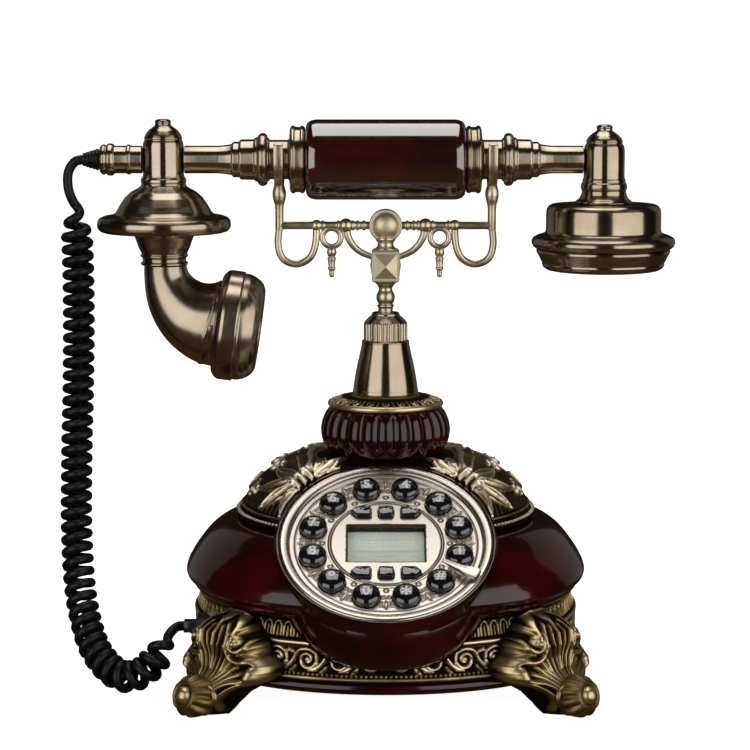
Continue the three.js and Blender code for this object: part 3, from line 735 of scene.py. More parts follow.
def transmitter():
    profile = [
        (0, 178.9), (9.9, 178.9), (10.3, 179.3), (10.3, 179.9), (9.8, 180.3), (9.4, 180.6), (9.5, 182), (9.9, 182.3),
        (10.4, 182.7), (10.4, 183.3), (9.9, 183.7), (10.2, 184.6), (11.2, 186.6), (12, 189), (12.9, 191.4),
        (14.6, 192.4), (18, 192.8), (26, 193.1), (27.6, 193.6), (28.7, 194.8), (29, 196.4), (28.8, 198), (27.9, 199.3),
        (26, 200.1), (23.4, 200.5), (21.6, 201), (20.4, 202.4), (19, 205), (16.8, 208.2), (14.2, 210.6), (11.6, 212),
        (10, 213), (9.5, 214.2), (9.9, 215), (9.9, 216), (9.2, 216.9), (8.85, 218), (8.85, 230.4), (8.6, 232),
        (8, 233.2), (8.3, 233.8), (7.6, 235.4), (6.4, 237.1), (4.6, 238.4), (3.6, 239.1), (3.3, 240), (3.6, 240.7),
        (3.1, 241.6), (1.8, 241.95), (0, 242)]
    turned("transmitter", profile, BRONZE_UPRIGHT, 128, TRANSMITTER, "transmitter_head")


def horn():
    """Turned straight, then bent along an arc toward the mouth."""
    length = HORN_BEND * HORN_SWEEP
    outside = curve_through([(9.2, 0), (9.6, 0.1), (10.4, 0.2), (12.9, 0.42), (15.9, 0.66), (18.1, 0.86)], 40).tolist()
    outside += [(18.3, 0.885), (18.45, 0.9), (18.9, 0.912), (19.0, 0.925), (18.9, 0.938), (18.6, 0.95), (18.8, 1.0)]
    inside = [(max(r - 2.2, 7), part) for r, part in outside[::4]][::-1]
    outline = np.array([*outside, (17.0, 1.0), *inside])
    segments = 96
    points = lathe_points(np.column_stack([outline[:, 0], outline[:, 1] * length]), segments)
    turn = points[:, 2] / HORN_BEND
    reach = HORN_BEND + points[:, 0]
    x = HORN_X + HORN_BEND - reach * np.cos(turn)
    bent = np.column_stack([x, STEM_Y - points[:, 1], HORN_TOP - reach * np.sin(turn)])
    faces = grid_faces(len(outline), segments, wrap_rows=True)
    install(new_object("horn", bent, faces, BRONZE), "handset", "bronze", "mouthpiece_elbow")


def sound_holes(radius, low, high, rings, place):
    """Drills for a grille."""
    spots = np.vstack([[(0, 0)], *(ring(circle, 0, count)[:, :2] for count, circle in rings)])
    outline = ring(radius, 0, 20)[:, :2]
    drills = [prism(f"drill_{i}", outline + spot, low, high, bevel=0, place=place) for i, spot in enumerate(spots)]
    return join("drills", drills)


def mouthpiece():
    place = Matrix.Translation((
        HORN_X + HORN_BEND * (1 - math.cos(HORN_SWEEP)), STEM_Y,
        HORN_TOP - HORN_BEND * math.sin(HORN_SWEEP))) @ Matrix.Rotation(math.pi - HORN_SWEEP, 4, "Y")
    profile = [
        (17.2, 0.3), (20.6, 0.3), (21.6, 0.7), (22.8, 1.6), (23.7, 2.7), (24, 3.8), (24, 9.2), (23.8, 9.7), (23.2, 9.9),
        (23.2, 10.4), (23.4, 10.8), (23.1, 12.6), (22.4, 14.6), (21.2, 16.6), (19.6, 18.2), (17.4, 19.2), (15.8, 19.2),
        (15, 18.6), (14.8, 16.2), (17.2, 16.2)]
    rim = lathe("rim", profile, BRONZE, 128, place, corner=0.3, closed=True)
    grille = lathe("grille", [(0, 16), (15.6, 16), (15.6, 18), (0, 18)], BRONZE, 96, place, corner=0)
    drills = sound_holes(0.85, 12, 24, [(6, 3.6), (12, 7.2), (18, 10.8)], place)
    install(join("mouthpiece", [rim, boolean(grille, [drills])]), "handset", "bronze", "mouthpiece_rim")


def receiver():
    head = [
        (0, 205.7), (12, 205.7), (12.6, 206), (12, 206.8), (10.8, 207.6), (9.8, 209.4), (9.5, 211), (9.9, 211.8),
        (10.1, 213), (9.8, 214.2), (9.2, 214.8), (9.4, 215.6), (8.9, 216.6), (8.85, 217.4), (8.85, 228.6), (8.5, 230.4),
        (7.7, 231.6), (8, 232.4), (7.4, 233.6), (6.2, 235), (4.6, 236.2), (3.5, 236.9), (3.3, 237.7), (3.6, 238.4),
        (3.1, 239.2), (1.8, 239.55), (0, 239.6)]
    cup = [
        (28.4, 186.2), (29.4, 186.2), (30.4, 187), (31.1, 188.4), (31.1, 189.6), (30.4, 190.8), (28.8, 191.7),
        (27, 192.3), (25.6, 192.7), (25, 193.6), (24.9, 195), (24.9, 200.6), (24.7, 203), (23.9, 204.4), (22.5, 205.2),
        (12, 205.4), (2, 205.4), (2, 202.8), (21.6, 202.4), (22.4, 191), (27.6, 189.4)]
    cap = [
        (0, 176.6), (22.8, 176.6), (24.4, 176.9), (26, 178), (26.6, 179.2), (26.4, 179.8), (27.4, 181.6), (28.2, 183.4),
        (28.9, 184.4), (29, 185.5), (28.6, 185.9), (25.9, 185.9), (24.4, 179.4), (23, 178.8), (0, 178.6)]
    turned("receiver", head, BRONZE_UPRIGHT, 128, RECEIVER, "receiver_head")
    turned("cup", cup, BRONZE_UPRIGHT, 144, RECEIVER, "receiver_cup", closed=True)
    piece = lathe("ear_cap", cap, BRONZE_UPRIGHT, 144, RECEIVER, corner=0.3)
    drills = sound_holes(0.9, 170, 180, [(6, 4), (12, 8), (18, 12)], RECEIVER)
    install(boolean(piece, [drills]), "handset", "bronze", "receiver_cap")


grip()
necks()
gland()
transmitter()
horn()
mouthpiece()
receiver()

# ---- Cradle ----


def fork(side):
    """A U of flat bar that holds one neck, with rounded tips."""
    inner, outer, tip_rise = 9.25, 12.3, 6
    half = (outer - inner) / 2
    low = np.linspace(math.pi, 2 * math.pi, 40)
    tip = np.linspace(0, math.pi, 10)
    outline = [(outer * math.cos(a), outer * math.sin(a)) for a in low]
    outline += [(outer - half + half * math.cos(a), tip_rise + half * math.sin(a)) for a in tip]
    outline += [(inner * math.cos(a), inner * math.sin(a)) for a in low[::-1]]
    outline += [(-outer + half + half * math.cos(a), tip_rise + half * math.sin(a)) for a in tip]
    outline = np.array(outline)
    distance = np.linalg.norm(outline, axis=1)[:, None]
    normal = outline / distance * np.where(distance > (inner + outer) / 2, 1, -1)
    rows = []
    for x, inset in ((-2, 0.5), (-1.85, 0.15), (-1.5, 0), (1.5, 0), (1.85, 0.15), (2, 0.5)):
        y, z = (outline - normal * inset).T
        rows.append(np.column_stack([np.full(len(y), side * FORK_X + x), y + STEM_Y, z + HANDSET_Z]))
    count = len(outline)
    faces = grid_faces(len(rows), count)
    for start in (0, (len(rows) - 1) * count):
        end = start + count - 1
        faces += [(start + i, start + i + 1, end - i - 1, end - i) for i in range(count // 2 - 1)]
    return new_object(f"fork_{side}", np.vstack(rows), faces, SATIN)


EYE_X, EYE_Z = 23.4, 190.8  # the small ring under the crossbar
EYE_RADIUS, EYE_WIRE = 4, 1.25
LOOP_WIRE, BEAD_X, KNUCKLE_X = 1.55, 29.9, 17.2


def cradle_side(side):
    """One side's fork, post, D-loop, small ring with its drop, arc and beads."""
    def at(x, z):
        return side * x, STEM_Y, z

    post = Matrix.Translation((side * FORK_X, STEM_Y, 0))
    drop = Matrix.Translation((side * EYE_X, STEM_Y, 0))
    loop = curve_through([at(46, 196), at(46.6, 187.5), at(44.4, 181.4), at(38.6, 179.2), at(33, 181.8),
                          at(30.5, 187.6), at(29.9, 195.6)], 60)
    arc = curve_through([at(17.2, 195.6), at(15.8, 190), at(11.6, 185), at(4, 181.6)], 36)
    eye = []
    for a in bearings(48):
        for b in bearings(14):
            reach = EYE_RADIUS + EYE_WIRE * math.cos(b)
            eye.append((side * EYE_X + reach * math.cos(a), STEM_Y + EYE_WIRE * math.sin(b),
                        EYE_Z + reach * math.sin(a)))
    return [
        fork(side),
        lathe("post", [(0, 194), (1.8, 194), (1.8, 203), (2, 205), (2.6, 207), (2.95, 209), (2.95, 210.6),
                       (2.6, 212), (2.2, 213.4), (0, 213.6)], SATIN, 40, post, corner=0.3),
        tube("loop", loop, LOOP_WIRE, SATIN, 16),
        new_object("eye", eye, grid_faces(48, 14, wrap_rows=True), SATIN),
        lathe("drop", [(0, 173.4), (0.9, 173.6), (1.1, 174.4), (1.2, 176.6), (1.7, 177), (1.75, 177.6), (1.4, 178),
                       (1.6, 180.4), (1.9, 182), (1.3, 182.4), (1.9, 183.2), (2.15, 184.4), (1.9, 185.6), (1.3, 186.4),
                       (0, 186.8)], SATIN, 32, drop, corner=0.2),
        tube("arc", arc, np.linspace(1.7, 1.3, 36), SATIN, 16),
        ball("bead", at(BEAD_X, BAR_Z), 2.5, SATIN),
        ball("knuckle", at(KNUCKLE_X, BAR_Z), 3.1, SATIN),
    ]


def cube():
    """The block under the medal, with a low pyramid on each side."""
    half = 6
    rows = []
    for z, r in ((171.7, half - 0.8), (172.3, half), (184.9, half), (185.7, half - 0.8)):
        rows += [(-r, STEM_Y - r, z), (r, STEM_Y - r, z), (r, STEM_Y + r, z), (-r, STEM_Y + r, z)]
    points, faces = [], []
    foot, low, high = 0.2 - half, 173, 184.4
    for quarter, height in enumerate((3.3, 0.7, 3.3, 0.7)):
        a = quarter * math.pi / 2
        for x, y, z in ((-5.2, foot, low), (5.2, foot, low), (5.2, foot, high), (-5.2, foot, high),
                        (0, -half - height, 178.7)):
            points.append((x * math.cos(a) - y * math.sin(a), x * math.sin(a) + y * math.cos(a) + STEM_Y, z))
        k = quarter * 5
        faces += [(k, k + 1, k + 4), (k + 1, k + 2, k + 4), (k + 2, k + 3, k + 4), (k + 3, k, k + 4),
                  (k + 3, k + 2, k + 1, k)]
    # The block and studs take the brighter satin copy, which paints light on their faces.
    return [new_object("block", rows, capped_faces(4, 4), SATIN_PAINTED_LIGHT, sharp=20),
            new_object("studs", points, faces, SATIN_PAINTED_LIGHT, sharp=20)]


def cradle():
    count = 400
    bar_path = np.column_stack([np.linspace(-FORK_X, FORK_X, count), np.full(count, STEM_Y), np.full(count, BAR_Z)])
    distance = np.abs(bar_path[:, 0])
    swell = 1.7 + sum(0.65 * np.exp(-(((distance - x) / 0.55) ** 2)) for x in (9.4, 12.2, 14.2, 20.4, 27.2))
    medal = Matrix.Translation((0, STEM_Y, BAR_Z)) @ Matrix.Rotation(math.pi / 2, 4, "X")
    dome = [(5.8 * math.sin(a), -1.4 - 4.6 * math.cos(a)) for a in np.linspace(0, 1.45, 14)]
    face = dome + [(6, -1.9), (6.9, -1.9), (7.25, -1.2), (7.25, 1.2), (6.9, 1.9), (6, 1.9)]
    face += [(r, -z) for r, z in dome[::-1]]
    neck = [(0, 185.2), (4.6, 185.2), (4.8, 186), (3.6, 187), (3.4, 188.6), (4.4, 189.8), (4.4, 190.6), (3.6, 191.4),
            (0, 191.6)]
    # The medal also takes the brighter satin copy, which paints light on it.
    pieces = [tube("bar", bar_path, swell, SATIN, 20), lathe("medal", face, SATIN_PAINTED_LIGHT, 64, medal, corner=0.4),
              *cube(), lathe("yoke_neck", neck, SATIN, 48, STEM, corner=0.3), *cradle_side(-1), *cradle_side(1)]
    install(join("yoke", pieces, SATIN, sharp=30), "cradle", "satin_brass", "cradle_yoke")
    stem = [(0, 59.5), (3.2, 59.5), (3.2, 75.8), (6, 76), (6, 77.4), (3.2, 77.6), (3.2, 160.2), (3.7, 160.8),
            (3.7, 161.4), (3, 161.9), (3.5, 162.6), (3.95, 163.6), (4.1, 164.8), (3.95, 166), (3.5, 167), (3, 167.7),
            (2.9, 169), (3.5, 169.6), (3.6, 170.2), (4.4, 170.7), (4.6, 171.2), (0, 171.3)]
    turned("stem_rod", stem, SATIN, 64, STEM, "cradle_stem", 0.25, slot="satin_brass", body="cradle")


cradle()

# ---- Bell stem, cap and collar ----


def stem_bell():
    lower = curve_through([(14, 126), (13.5, 129), (12.95, 132.4), (12.2, 136), (11.35, 139.8), (10.5, 143.8)], 24)
    upper = [(9.55, z) for z in np.linspace(146.4, 153.2, 18)]
    profile = [(3.6, 123), (14.3, 123), (14.3, 124.3), (14, 125), *lower, (10.35, 144.9), (10.45, 145.6), (10, 146),
               *upper, (9.3, 154), (8.4, 155), (7.2, 156.2), (6.2, 157), (6.1, 157.7), (5.6, 158.3), (3.6, 158.3)]

    def flutes(angles, radii, z):
        return radii - (0.5 * np.abs(np.sin(15 * angles)) ** 4 if 146.3 < z < 153.4 and radii[0] > 8 else 0)

    install(lathe("bell", profile, BRONZE_UPRIGHT, 360, STEM, corner=0.2, closed=True, turn=flutes), "base", "bronze",
            "stem_bell")


def fluted_collar():
    """Reeds that swell and then fade out at the foot."""
    rows = curve_through([(24.6, 97.4), (25.6, 98.6), (27.2, 101), (28, 104), (28.3, 107), (27.9, 110), (27, 112.8),
                          (25.9, 115), (24.6, 116.6), (23.6, 117)], 60)

    def reeds(angles, radii, z):
        t = np.clip((z - 98.6) / 3.4, 0, 1) * np.clip((117.2 - z) / 2.2, 0, 1)
        wave = np.abs(np.cos(12 * angles)) ** 0.75
        return radii - 1.5 * t * (1 - wave)

    outline = np.vstack([[(18, 97.4)], rows, [(18, 117)]])
    install(lathe("collar_fine", outline, LACQUER, 384, STEM, corner=0, closed=True, turn=reeds, sharp=70), "base",
            "lacquer", "collar")


def collar_cap():
    width, repeats, columns = 150, 20, 480
    relief = Relief(width, 16, 0.2)
    for k in range(repeats):
        x = k * width / repeats
        relief.stroke([(x, 9.6), (x + 1.6, 7.6), (x + 1.2, 5.6)], 0.5, 0.3, 0.8)
        relief.stroke([(x, 9.6), (x - 1.6, 7.6), (x - 1.2, 5.6)], 0.5, 0.3, 0.8)
        relief.stroke([(x + 3.7, 10.2), (x + 3.7, 5.4)], 0.55, 0.3, 0.9)
        relief.stamp(x, 7, 0.7, 0.7)
    rim = [(24.4, 117.3), (24.9, 117.5), (25.2, 118), (25.25, 118.8), (24.9, 119.5), (24.2, 119.9)]
    top = curve_through([(23.6, 119.7), (21.6, 120.6), (19, 121.4), (15.4, 121.9)], 40).tolist()
    outline = np.array([(3.6, 117.3), *rim, *top, (14.2, 122.7), (3.6, 122.7)])
    points = lathe_points(outline, columns)
    heights = np.zeros(len(points))
    angles = np.arctan2(points[:, 1], points[:, 0]) % (2 * math.pi)
    radius = np.hypot(points[:, 0], points[:, 1])
    carved = (radius < 23.7) & (radius > 15.3) & (points[:, 2] > 119.5)
    heights[carved] = relief.sample(angles[carved] / (2 * math.pi) * width, radius[carved] - 14)
    points[:, 2] += np.where(carved, heights * 0.9 - 0.5, 0)
    shine = np.where(carved, heights, 0.8)
    finish_relief("cap", points, grid_faces(len(outline), columns, wrap_rows=True), GOLD, shine, STEM, "collar_cap")


def finish_relief(name, points, faces, material, heights, place, node, tools=(), slot="cast_gold"):
    """A relief piece: keeps each vertex's height for its material, cuts it, and puts it on the base."""
    piece = raw_object(name, points, faces, material, place)
    attribute = piece.data.attributes.new("relief", "FLOAT", "POINT")
    attribute.data.foreach_set("value", np.asarray(heights, np.float32))
    clean(piece.data, merge=0)
    if tools:
        boolean(piece, tools)
    piece.data.set_sharp_from_angle(angle=math.radians(60))
    install(piece, "base", slot, node)


stem_bell()
fluted_collar()
collar_cap()

# ---- Lacquered body ----
BOWL_RADIUS, BOWL_COLLAR = 46.8, -5.0  # the rim, and how far below the dial it stays round
BOWL_FOOT = np.array([0, STEM_Y - 66.5, 0])
BOWL_FOOT_Z = 20.5
BOWL_FOOT_HALF = 19.0, 20.0
BOWL_GAP = 0.3  # between the bowl and the castings cut round it
DIAL_TURN = np.array(Matrix.Rotation(DIAL_TILT, 3, "X"))


def bowl(name, inset, top, low):
    """The solid under the dial: a round rim that closes to a small oval at the skirt."""
    segments, levels = 144, 26
    rim_round = [(1.2, top), (0.3, top - 0.35), (0, top - 1.2)] if inset == 0 else [(0, top)]
    rows = [ring(BOWL_RADIUS - inset - trim, z, segments) @ DIAL_TURN.T + np.array(DIAL_CENTRE)
            for trim, z in [*rim_round, (0, BOWL_COLLAR)]]
    rim = rows[-1]
    foot = ring(1, low, segments) * [BOWL_FOOT_HALF[0] - inset, BOWL_FOOT_HALF[1] - inset, 1] + BOWL_FOOT
    for along in np.linspace(0, math.pi / 2, levels)[1:]:
        inward, drop = 1 - math.cos(along), math.sin(along)
        rows.append(rim + (foot - rim) * [inward, inward, drop])
    return new_object(name, np.vstack(rows), capped_faces(len(rows), segments), LACQUER)


def bowed(name, profile, material, segments=288, corner=0.6):
    """A turned profile of (half, z, squareness) pushed out to the bowed square."""
    outline = rounded(profile, corner)
    reach = bowed_reach(bearings(segments)) - 1
    points = np.vstack([ring(half * (1 + square * reach), z, segments) for half, z, square in outline])
    return new_object(name, points, grid_faces(len(outline), segments), material, STEM)


def dial_rod(name, radius, low, high):
    return prism(name, ring(radius, 0, 144)[:, :2], low, high, bevel=0, place=DIAL)


def body_shell():
    curve = curve_through([(63.4, 69.2, 0), (69.5, 68.3, 0.2), (76.5, 63.8, 0.6), (82.6, 56.4, 0.92), (86.2, 50.4, 1),
                           (87.4, 46.9, 1)], 36).tolist()
    lip = [(87.4, 46, 1), (86.9, 44.6, 1), (85.6, 43.6, 1), (84.4, 42.6, 1), (84.2, 41.2, 1), (83.2, 40, 1),
           (81.6, 39.2, 1), (80.6, 38.7, 1)]
    outline = [(0, 69.2, 0), *curve, *lip, (0, 38.7, 1)]
    shell = bowed("shell", outline, LACQUER, corner=0.3)
    inner = [(0, 35, 1), (77.9, 35, 1), (77.9, 40, 1), (83, 44.5, 1), (83.6, 47, 1), (80, 53.4, 0.95),
             (73.4, 60.8, 0.6), (67, 65.2, 0.2), (58, 66.4, 0), (58, 72, 0), (0, 72, 0)]
    inside = bowed("inside", inner, LACQUER, 144, corner=0)
    wall = 2.6
    boolean(shell, [bowl("bowl", 0, 1.6, BOWL_FOOT_Z)], "UNION")
    boolean(shell, [inside, bowl("hollow", wall, -3.8, BOWL_FOOT_Z + wall), dial_rod("pocket", 45.3, -3.5, 6),
                    dial_rod("well", 39, -12, 0), dial_rod("above", 47.6, 1.5, 40)])
    shell.data.set_sharp_from_angle(angle=math.radians(32))
    install(shell, "base", "lacquer", "body_shell")


body_shell()
plinth = [(0, 9, 1), (82.8, 9, 1), (83.8, 9.4, 1), (84.7, 10.4, 1), (84.9, 11.6, 1), (84.7, 12.8, 1), (84.3, 13.4, 1),
          (76, 13.4, 1), (76, 11.6, 1), (0, 11.6, 1)]
install(bowed("plinth", plinth, LACQUER, corner=0.4), "base", "lacquer", "bottom_plate")

# ---- Crown ----
CROWN_WIDTH = 320.0  # of the relief's strip, all the way round
CROWN_REACH = 58.0  # along the surface, from the rim inward
CROWN_DIAL_RADIUS = 47


def crown_relief():
    r = Relief(CROWN_WIDTH, CROWN_REACH + 2, 0.25)
    ribs, beads = 128, 170
    for k in range(ribs):
        x = CROWN_WIDTH * k / ribs
        r.stroke([(x, 8), (x + 1.2, 20), (x + 4, 34), (x + 7, 48)], 0.8, 0.6, 0.7)
    for k in range(beads):
        r.stamp(CROWN_WIDTH * k / beads, 3.2, 0.86, 2.4)
    edge = np.column_stack([np.linspace(0, CROWN_WIDTH, 300), np.full(300, 55.5)])
    r.stroke(edge, 0.9, 0.9, 1.3)
    r.stroke(edge - [0, 49.3], 0.7, 0.7, 1.3)
    for corner in (1, 3, 5, 7):
        for hand in (-1, 1):
            crown_cluster(r, CROWN_WIDTH * corner / 8, hand)
    return r


def crown_cluster(r, x, hand):
    """Half of a leaf spray tied with three rings, with a ribbon that runs on to the next spray."""
    at, turn = mirrored(x, hand)
    for dx, y, angle, length, width, bend in (
            (0.5, 24, -90, 17, 2.9, 0.0), (3, 25, -64, 20, 3.1, 0.25), (4.5, 27, -38, 22, 3.2, 0.3),
            (6, 29, -12, 19, 2.9, 0.35), (2, 36, 64, 15, 2.8, -0.5)):
        r.blade(*at(dx, y), turn(angle), length, width, 2.3, hand * bend)
    r.stroke(curve_through([at(3, 33), at(11, 39.5), at(21, 43.5), at(31, 45), at(40, 45)], 60), 1.9, 1.5, 2.5)
    r.stroke(curve_through([at(4, 31), at(13, 35), at(23, 38.4), at(33, 39.4)], 50), 1.2, 0.6, 2.0)
    r.scroll(*at(31.5, 29), 4.8, turn(150), -hand, 1.3, 1.15, 2.4)
    r.scroll(*at(27, 14.5), 3.8, turn(-40), hand, 1.2, 1.0, 2.2)
    r.blade(*at(31, 20), turn(-50), 11, 2.3, 2.0, hand * 0.4)
    for y in (25.6, 29.6, 33.4):
        r.stroke([at(0, y), at(3, y - 0.2), at(6.2, y - 1.6)], 1.45, 1.2, 3.0)
    r.blade(*at(0, 35), math.pi / 2, 17, 3.2, 2.4)


def settle_beside_dial(points, base):
    """Draws the crown down to meet the dial's rim instead of standing over it."""
    local = (base + [0, STEM_Y, 0] - np.array(DIAL_CENTRE)) @ DIAL_TURN
    gap = np.hypot(local[..., 0], local[..., 1]) - CROWN_DIAL_RADIUS
    limit = 1.2 + np.where(gap > 0, gap * 0.7, -gap * 3)
    excess = np.where(gap < 14, np.maximum(local[..., 2] - limit, 0), 0)
    points -= excess[..., None] * DIAL_TURN[:, 2]


def crown():
    relief = crown_relief()
    edge = [(65.2, 69.7), (65.5, 70.4), (65.5, 71.6), (65.1, 72.4)]
    top = curve_through([(64.7, 73), (63.2, 76.2), (59.6, 82), (55.6, 86.4), (51.2, 90.1), (46.6, 93.2), (42, 95.2),
                         (35, 96.3), (28, 96.8)], 130).tolist()
    inside = [(22, 96.9), (14, 96.9), (14, 91), (34, 89.4), (43, 84), (50, 77), (55, 71.6), (57, 69.5), (62.6, 69.5)]
    outline = np.array(edge + top + inside)
    surface = len(edge) + len(top)
    columns, sunk = 1080, 1.7
    points = lathe_points(outline, columns).reshape(len(outline), columns, 3)
    lengths = np.concatenate([[0], np.cumsum(np.linalg.norm(np.diff(outline[:surface], axis=0), axis=1))])
    angles = np.linspace(0, 1, columns, endpoint=False) * CROWN_WIDTH
    heights = np.zeros((len(outline), columns))
    heights[:surface] = relief.sample(angles[None, :], np.minimum(lengths, CROWN_REACH)[:, None])
    tangent = np.gradient(outline, axis=0)
    tangent /= np.linalg.norm(tangent, axis=1)[:, None]
    normal = np.column_stack([tangent[:, 1], -tangent[:, 0]])
    lift = np.where(np.arange(len(outline))[:, None] < surface, heights - sunk, 0)
    lift[:2] *= 0.4
    base = points[:surface].copy()
    around = points[:, :, :2] / np.linalg.norm(points[:, :, :2], axis=2)[:, :, None]
    points[:, :, :2] += around * (lift * normal[:, 0][:, None])[:, :, None]
    points[:, :, 2] += lift * normal[:, 1][:, None]
    shine = np.clip(heights / 2.3, 0, 1)
    shine[surface:] = 0.2
    settle_beside_dial(points[:surface], base)
    faces = grid_faces(len(outline), columns, wrap_rows=True)
    cutter = bowl("crown_cut", -BOWL_GAP, 42, BOWL_FOOT_Z)
    finish_relief("crown", points.reshape(-1, 3), faces, PALE, shine.ravel(), STEM, "crown_plate", [cutter])


# ---- Skirt ----
SKIRT_FOOT = 13.7
SKIRT_SUNK = 0.9  # the ground of the relief, below the CAD surface


def perimeter(half, count):
    """Bearings evenly spread along the bowed square, and its length."""
    fine = np.linspace(0, 2 * math.pi, 4001)
    radii = half * bowed_reach(fine)
    xy = np.column_stack([radii * np.cos(fine), radii * np.sin(fine)])
    lengths = np.concatenate([[0], np.cumsum(np.linalg.norm(np.diff(xy, axis=0), axis=1))])
    return np.interp(np.linspace(0, lengths[-1], count, endpoint=False), lengths, fine), lengths[-1]


def skirt_relief(total):
    """Canvas height is measured from the plinth; one side is a quarter of the width."""
    r = Relief(total, 26, 0.25)
    side, arches, beads, volutes = total / 4, 28, 260, 10
    pitch = side / arches
    for k in range(4 * arches):
        x = k * pitch
        arch = [(x - pitch * 0.36, 18.2), (x - pitch * 0.36, 21.8), (x - pitch * 0.2, 23.4), (x, 23.9),
                (x + pitch * 0.2, 23.4), (x + pitch * 0.36, 21.8), (x + pitch * 0.36, 18.2)]
        r.stroke(curve_through(arch, 24), 0.5, 0.5, 1.15)
        r.stroke([(x, 18.2), (x, 22)], 0.62, 0.35, 0.95)
        r.stamp(x + pitch / 2, 23.9, 0.42, 0.8)
    line = np.column_stack([np.linspace(0, total, 600), np.full(600, 16)])
    r.stroke(line, 1.0, 1.0, 1.5, power=0.35)
    r.stroke(line - [0, 1.9], 0.4, 0.4, 0.5)
    r.stroke(line - [0, 14.4], 0.75, 0.75, 0.95)
    for k in range(beads):
        r.stamp(total * k / beads, 3.1, 0.8, 0.95)
    unit = side / volutes
    for k in range(4 * volutes):
        frieze_unit(r, (k + 0.5) * unit, 1 if k % volutes < volutes / 2 else -1, unit)
    return r


def frieze_unit(r, x, hand, unit):
    """One volute of the running scroll with its leaf and berry."""
    at, turn = mirrored(x, hand)
    r.scroll(*at(0, 9.2), 4.0, turn(200), hand, 1.35, 1.0, 1.75)
    r.stroke(curve_through([at(-4, 9), at(-3.4, 12), at(0, 13.6), at(4, 12.4), at(6.4, 8.6), at(9.4, 5.6),
                            at(12.4, 5.2)], 40), 0.75, 1.05, 1.6)
    r.leaf(*at(5.2, 6.6), turn(-70), 4, 1.3, 1.3, hand * 0.9, 1)
    r.leaf(*at(5.6, 11.4), turn(35), 4.6, 1.5, 1.4, hand * -0.8, 1)
    r.stamp(*at(unit * 0.5, 12.2), 0.95, 1.5)
    r.stamp(*at(unit * 0.5 - 1, 8.4), 0.7, 1.1)


def skirt():
    columns = 1240
    bearings, total = perimeter(84, columns)
    relief = skirt_relief(total)
    face = [(84.5, 13.9), (84.6, 14.4), *[(83.9, z) for z in np.linspace(15, 18.4, 10)],
            *[(83.2 - 0.4 * math.sin((z - 18.4) / 9.6 * math.pi), z) for z in np.linspace(18.7, 28, 34)],
            *[(83.4, z) for z in np.linspace(28.3, 31, 10)],
            *[(82.8 - (z - 31) * 0.28, z) for z in np.linspace(31.3, 37.9, 26)], (80.4, 38.3)]
    back = [(78.6, 38.4), (77.5, 38.4), (77.5, 26), (77.5, SKIRT_FOOT), (81, SKIRT_FOOT), (84, SKIRT_FOOT)]
    outline = np.array(face + back)
    heights = np.zeros((len(outline), columns))
    z = outline[: len(face), 1]
    along = np.linspace(0, total, columns, endpoint=False)
    heights[: len(face)] = relief.sample(along[None, :], (z - SKIRT_FOOT)[:, None])
    lift = np.where(np.arange(len(outline))[:, None] < len(face), heights - SKIRT_SUNK, 0)
    lift[:2] = 0
    radii = outline[:, 0][:, None] * bowed_reach(bearings)[None, :] + lift
    points = np.stack([radii * np.cos(bearings), radii * np.sin(bearings),
                       np.broadcast_to(outline[:, 1][:, None], radii.shape)], axis=2)
    shine = np.clip(heights / 1.65, 0, 1)
    cutters = [bowl("skirt_cut", -BOWL_GAP, 42, BOWL_FOOT_Z - BOWL_GAP)]
    for node, size in (("cord_jack", (24, 13.6, 9.6)), ("line_jack", (14.6, 30, 12.6))):
        cutters.append(block(f"{node}_hole", size, [middle(node, axis) for axis in (X, Y, Z)], bevel=0))
    faces = grid_faces(len(outline), columns, wrap_rows=True)
    finish_relief("skirt", points.reshape(-1, 3), faces, GOLD, shine.ravel(), STEM, "skirt_band", cutters)


# ---- Feet ----
# Half-widths of the bowed square by height: the front face and the back face of a foot; then its own half-width.
FOOT_SIDE = [(100.2, 0), (99.2, 1.5), (103, 8), (100.4, 13), (97.8, 18), (97.6, 23), (98.6, 28), (97.6, 33), (93, 37.6),
             (86.4, 40.4)]
FOOT_BACK = [(98, 0), (94.5, 2), (91, 5), (88, 8.6), (85.6, 11), (85.6, 17), (84.9, 28), (84.9, 31), (83, 37.6),
             (84.6, 40)]
FOOT_WIDTH = [(0, 9.4), (4, 9.7), (8, 11.8), (11, 15.6), (13.4, 20.4), (16, 24), (18.6, 25.2), (21, 24), (23.4, 21),
              (26, 18.8), (29, 18.6), (32, 17), (35, 13.4), (38, 9.4), (40, 5.6), (40.6, 4)]
FOOT_TOP = 40.6
RIDGE, TABLE = 40, 2  # the canvas x of the corner's ridge, and the canvas y of the table
TOE_REACH, TOE_RADIUS, TOE_Z = 111.5, 9.8, 7.4


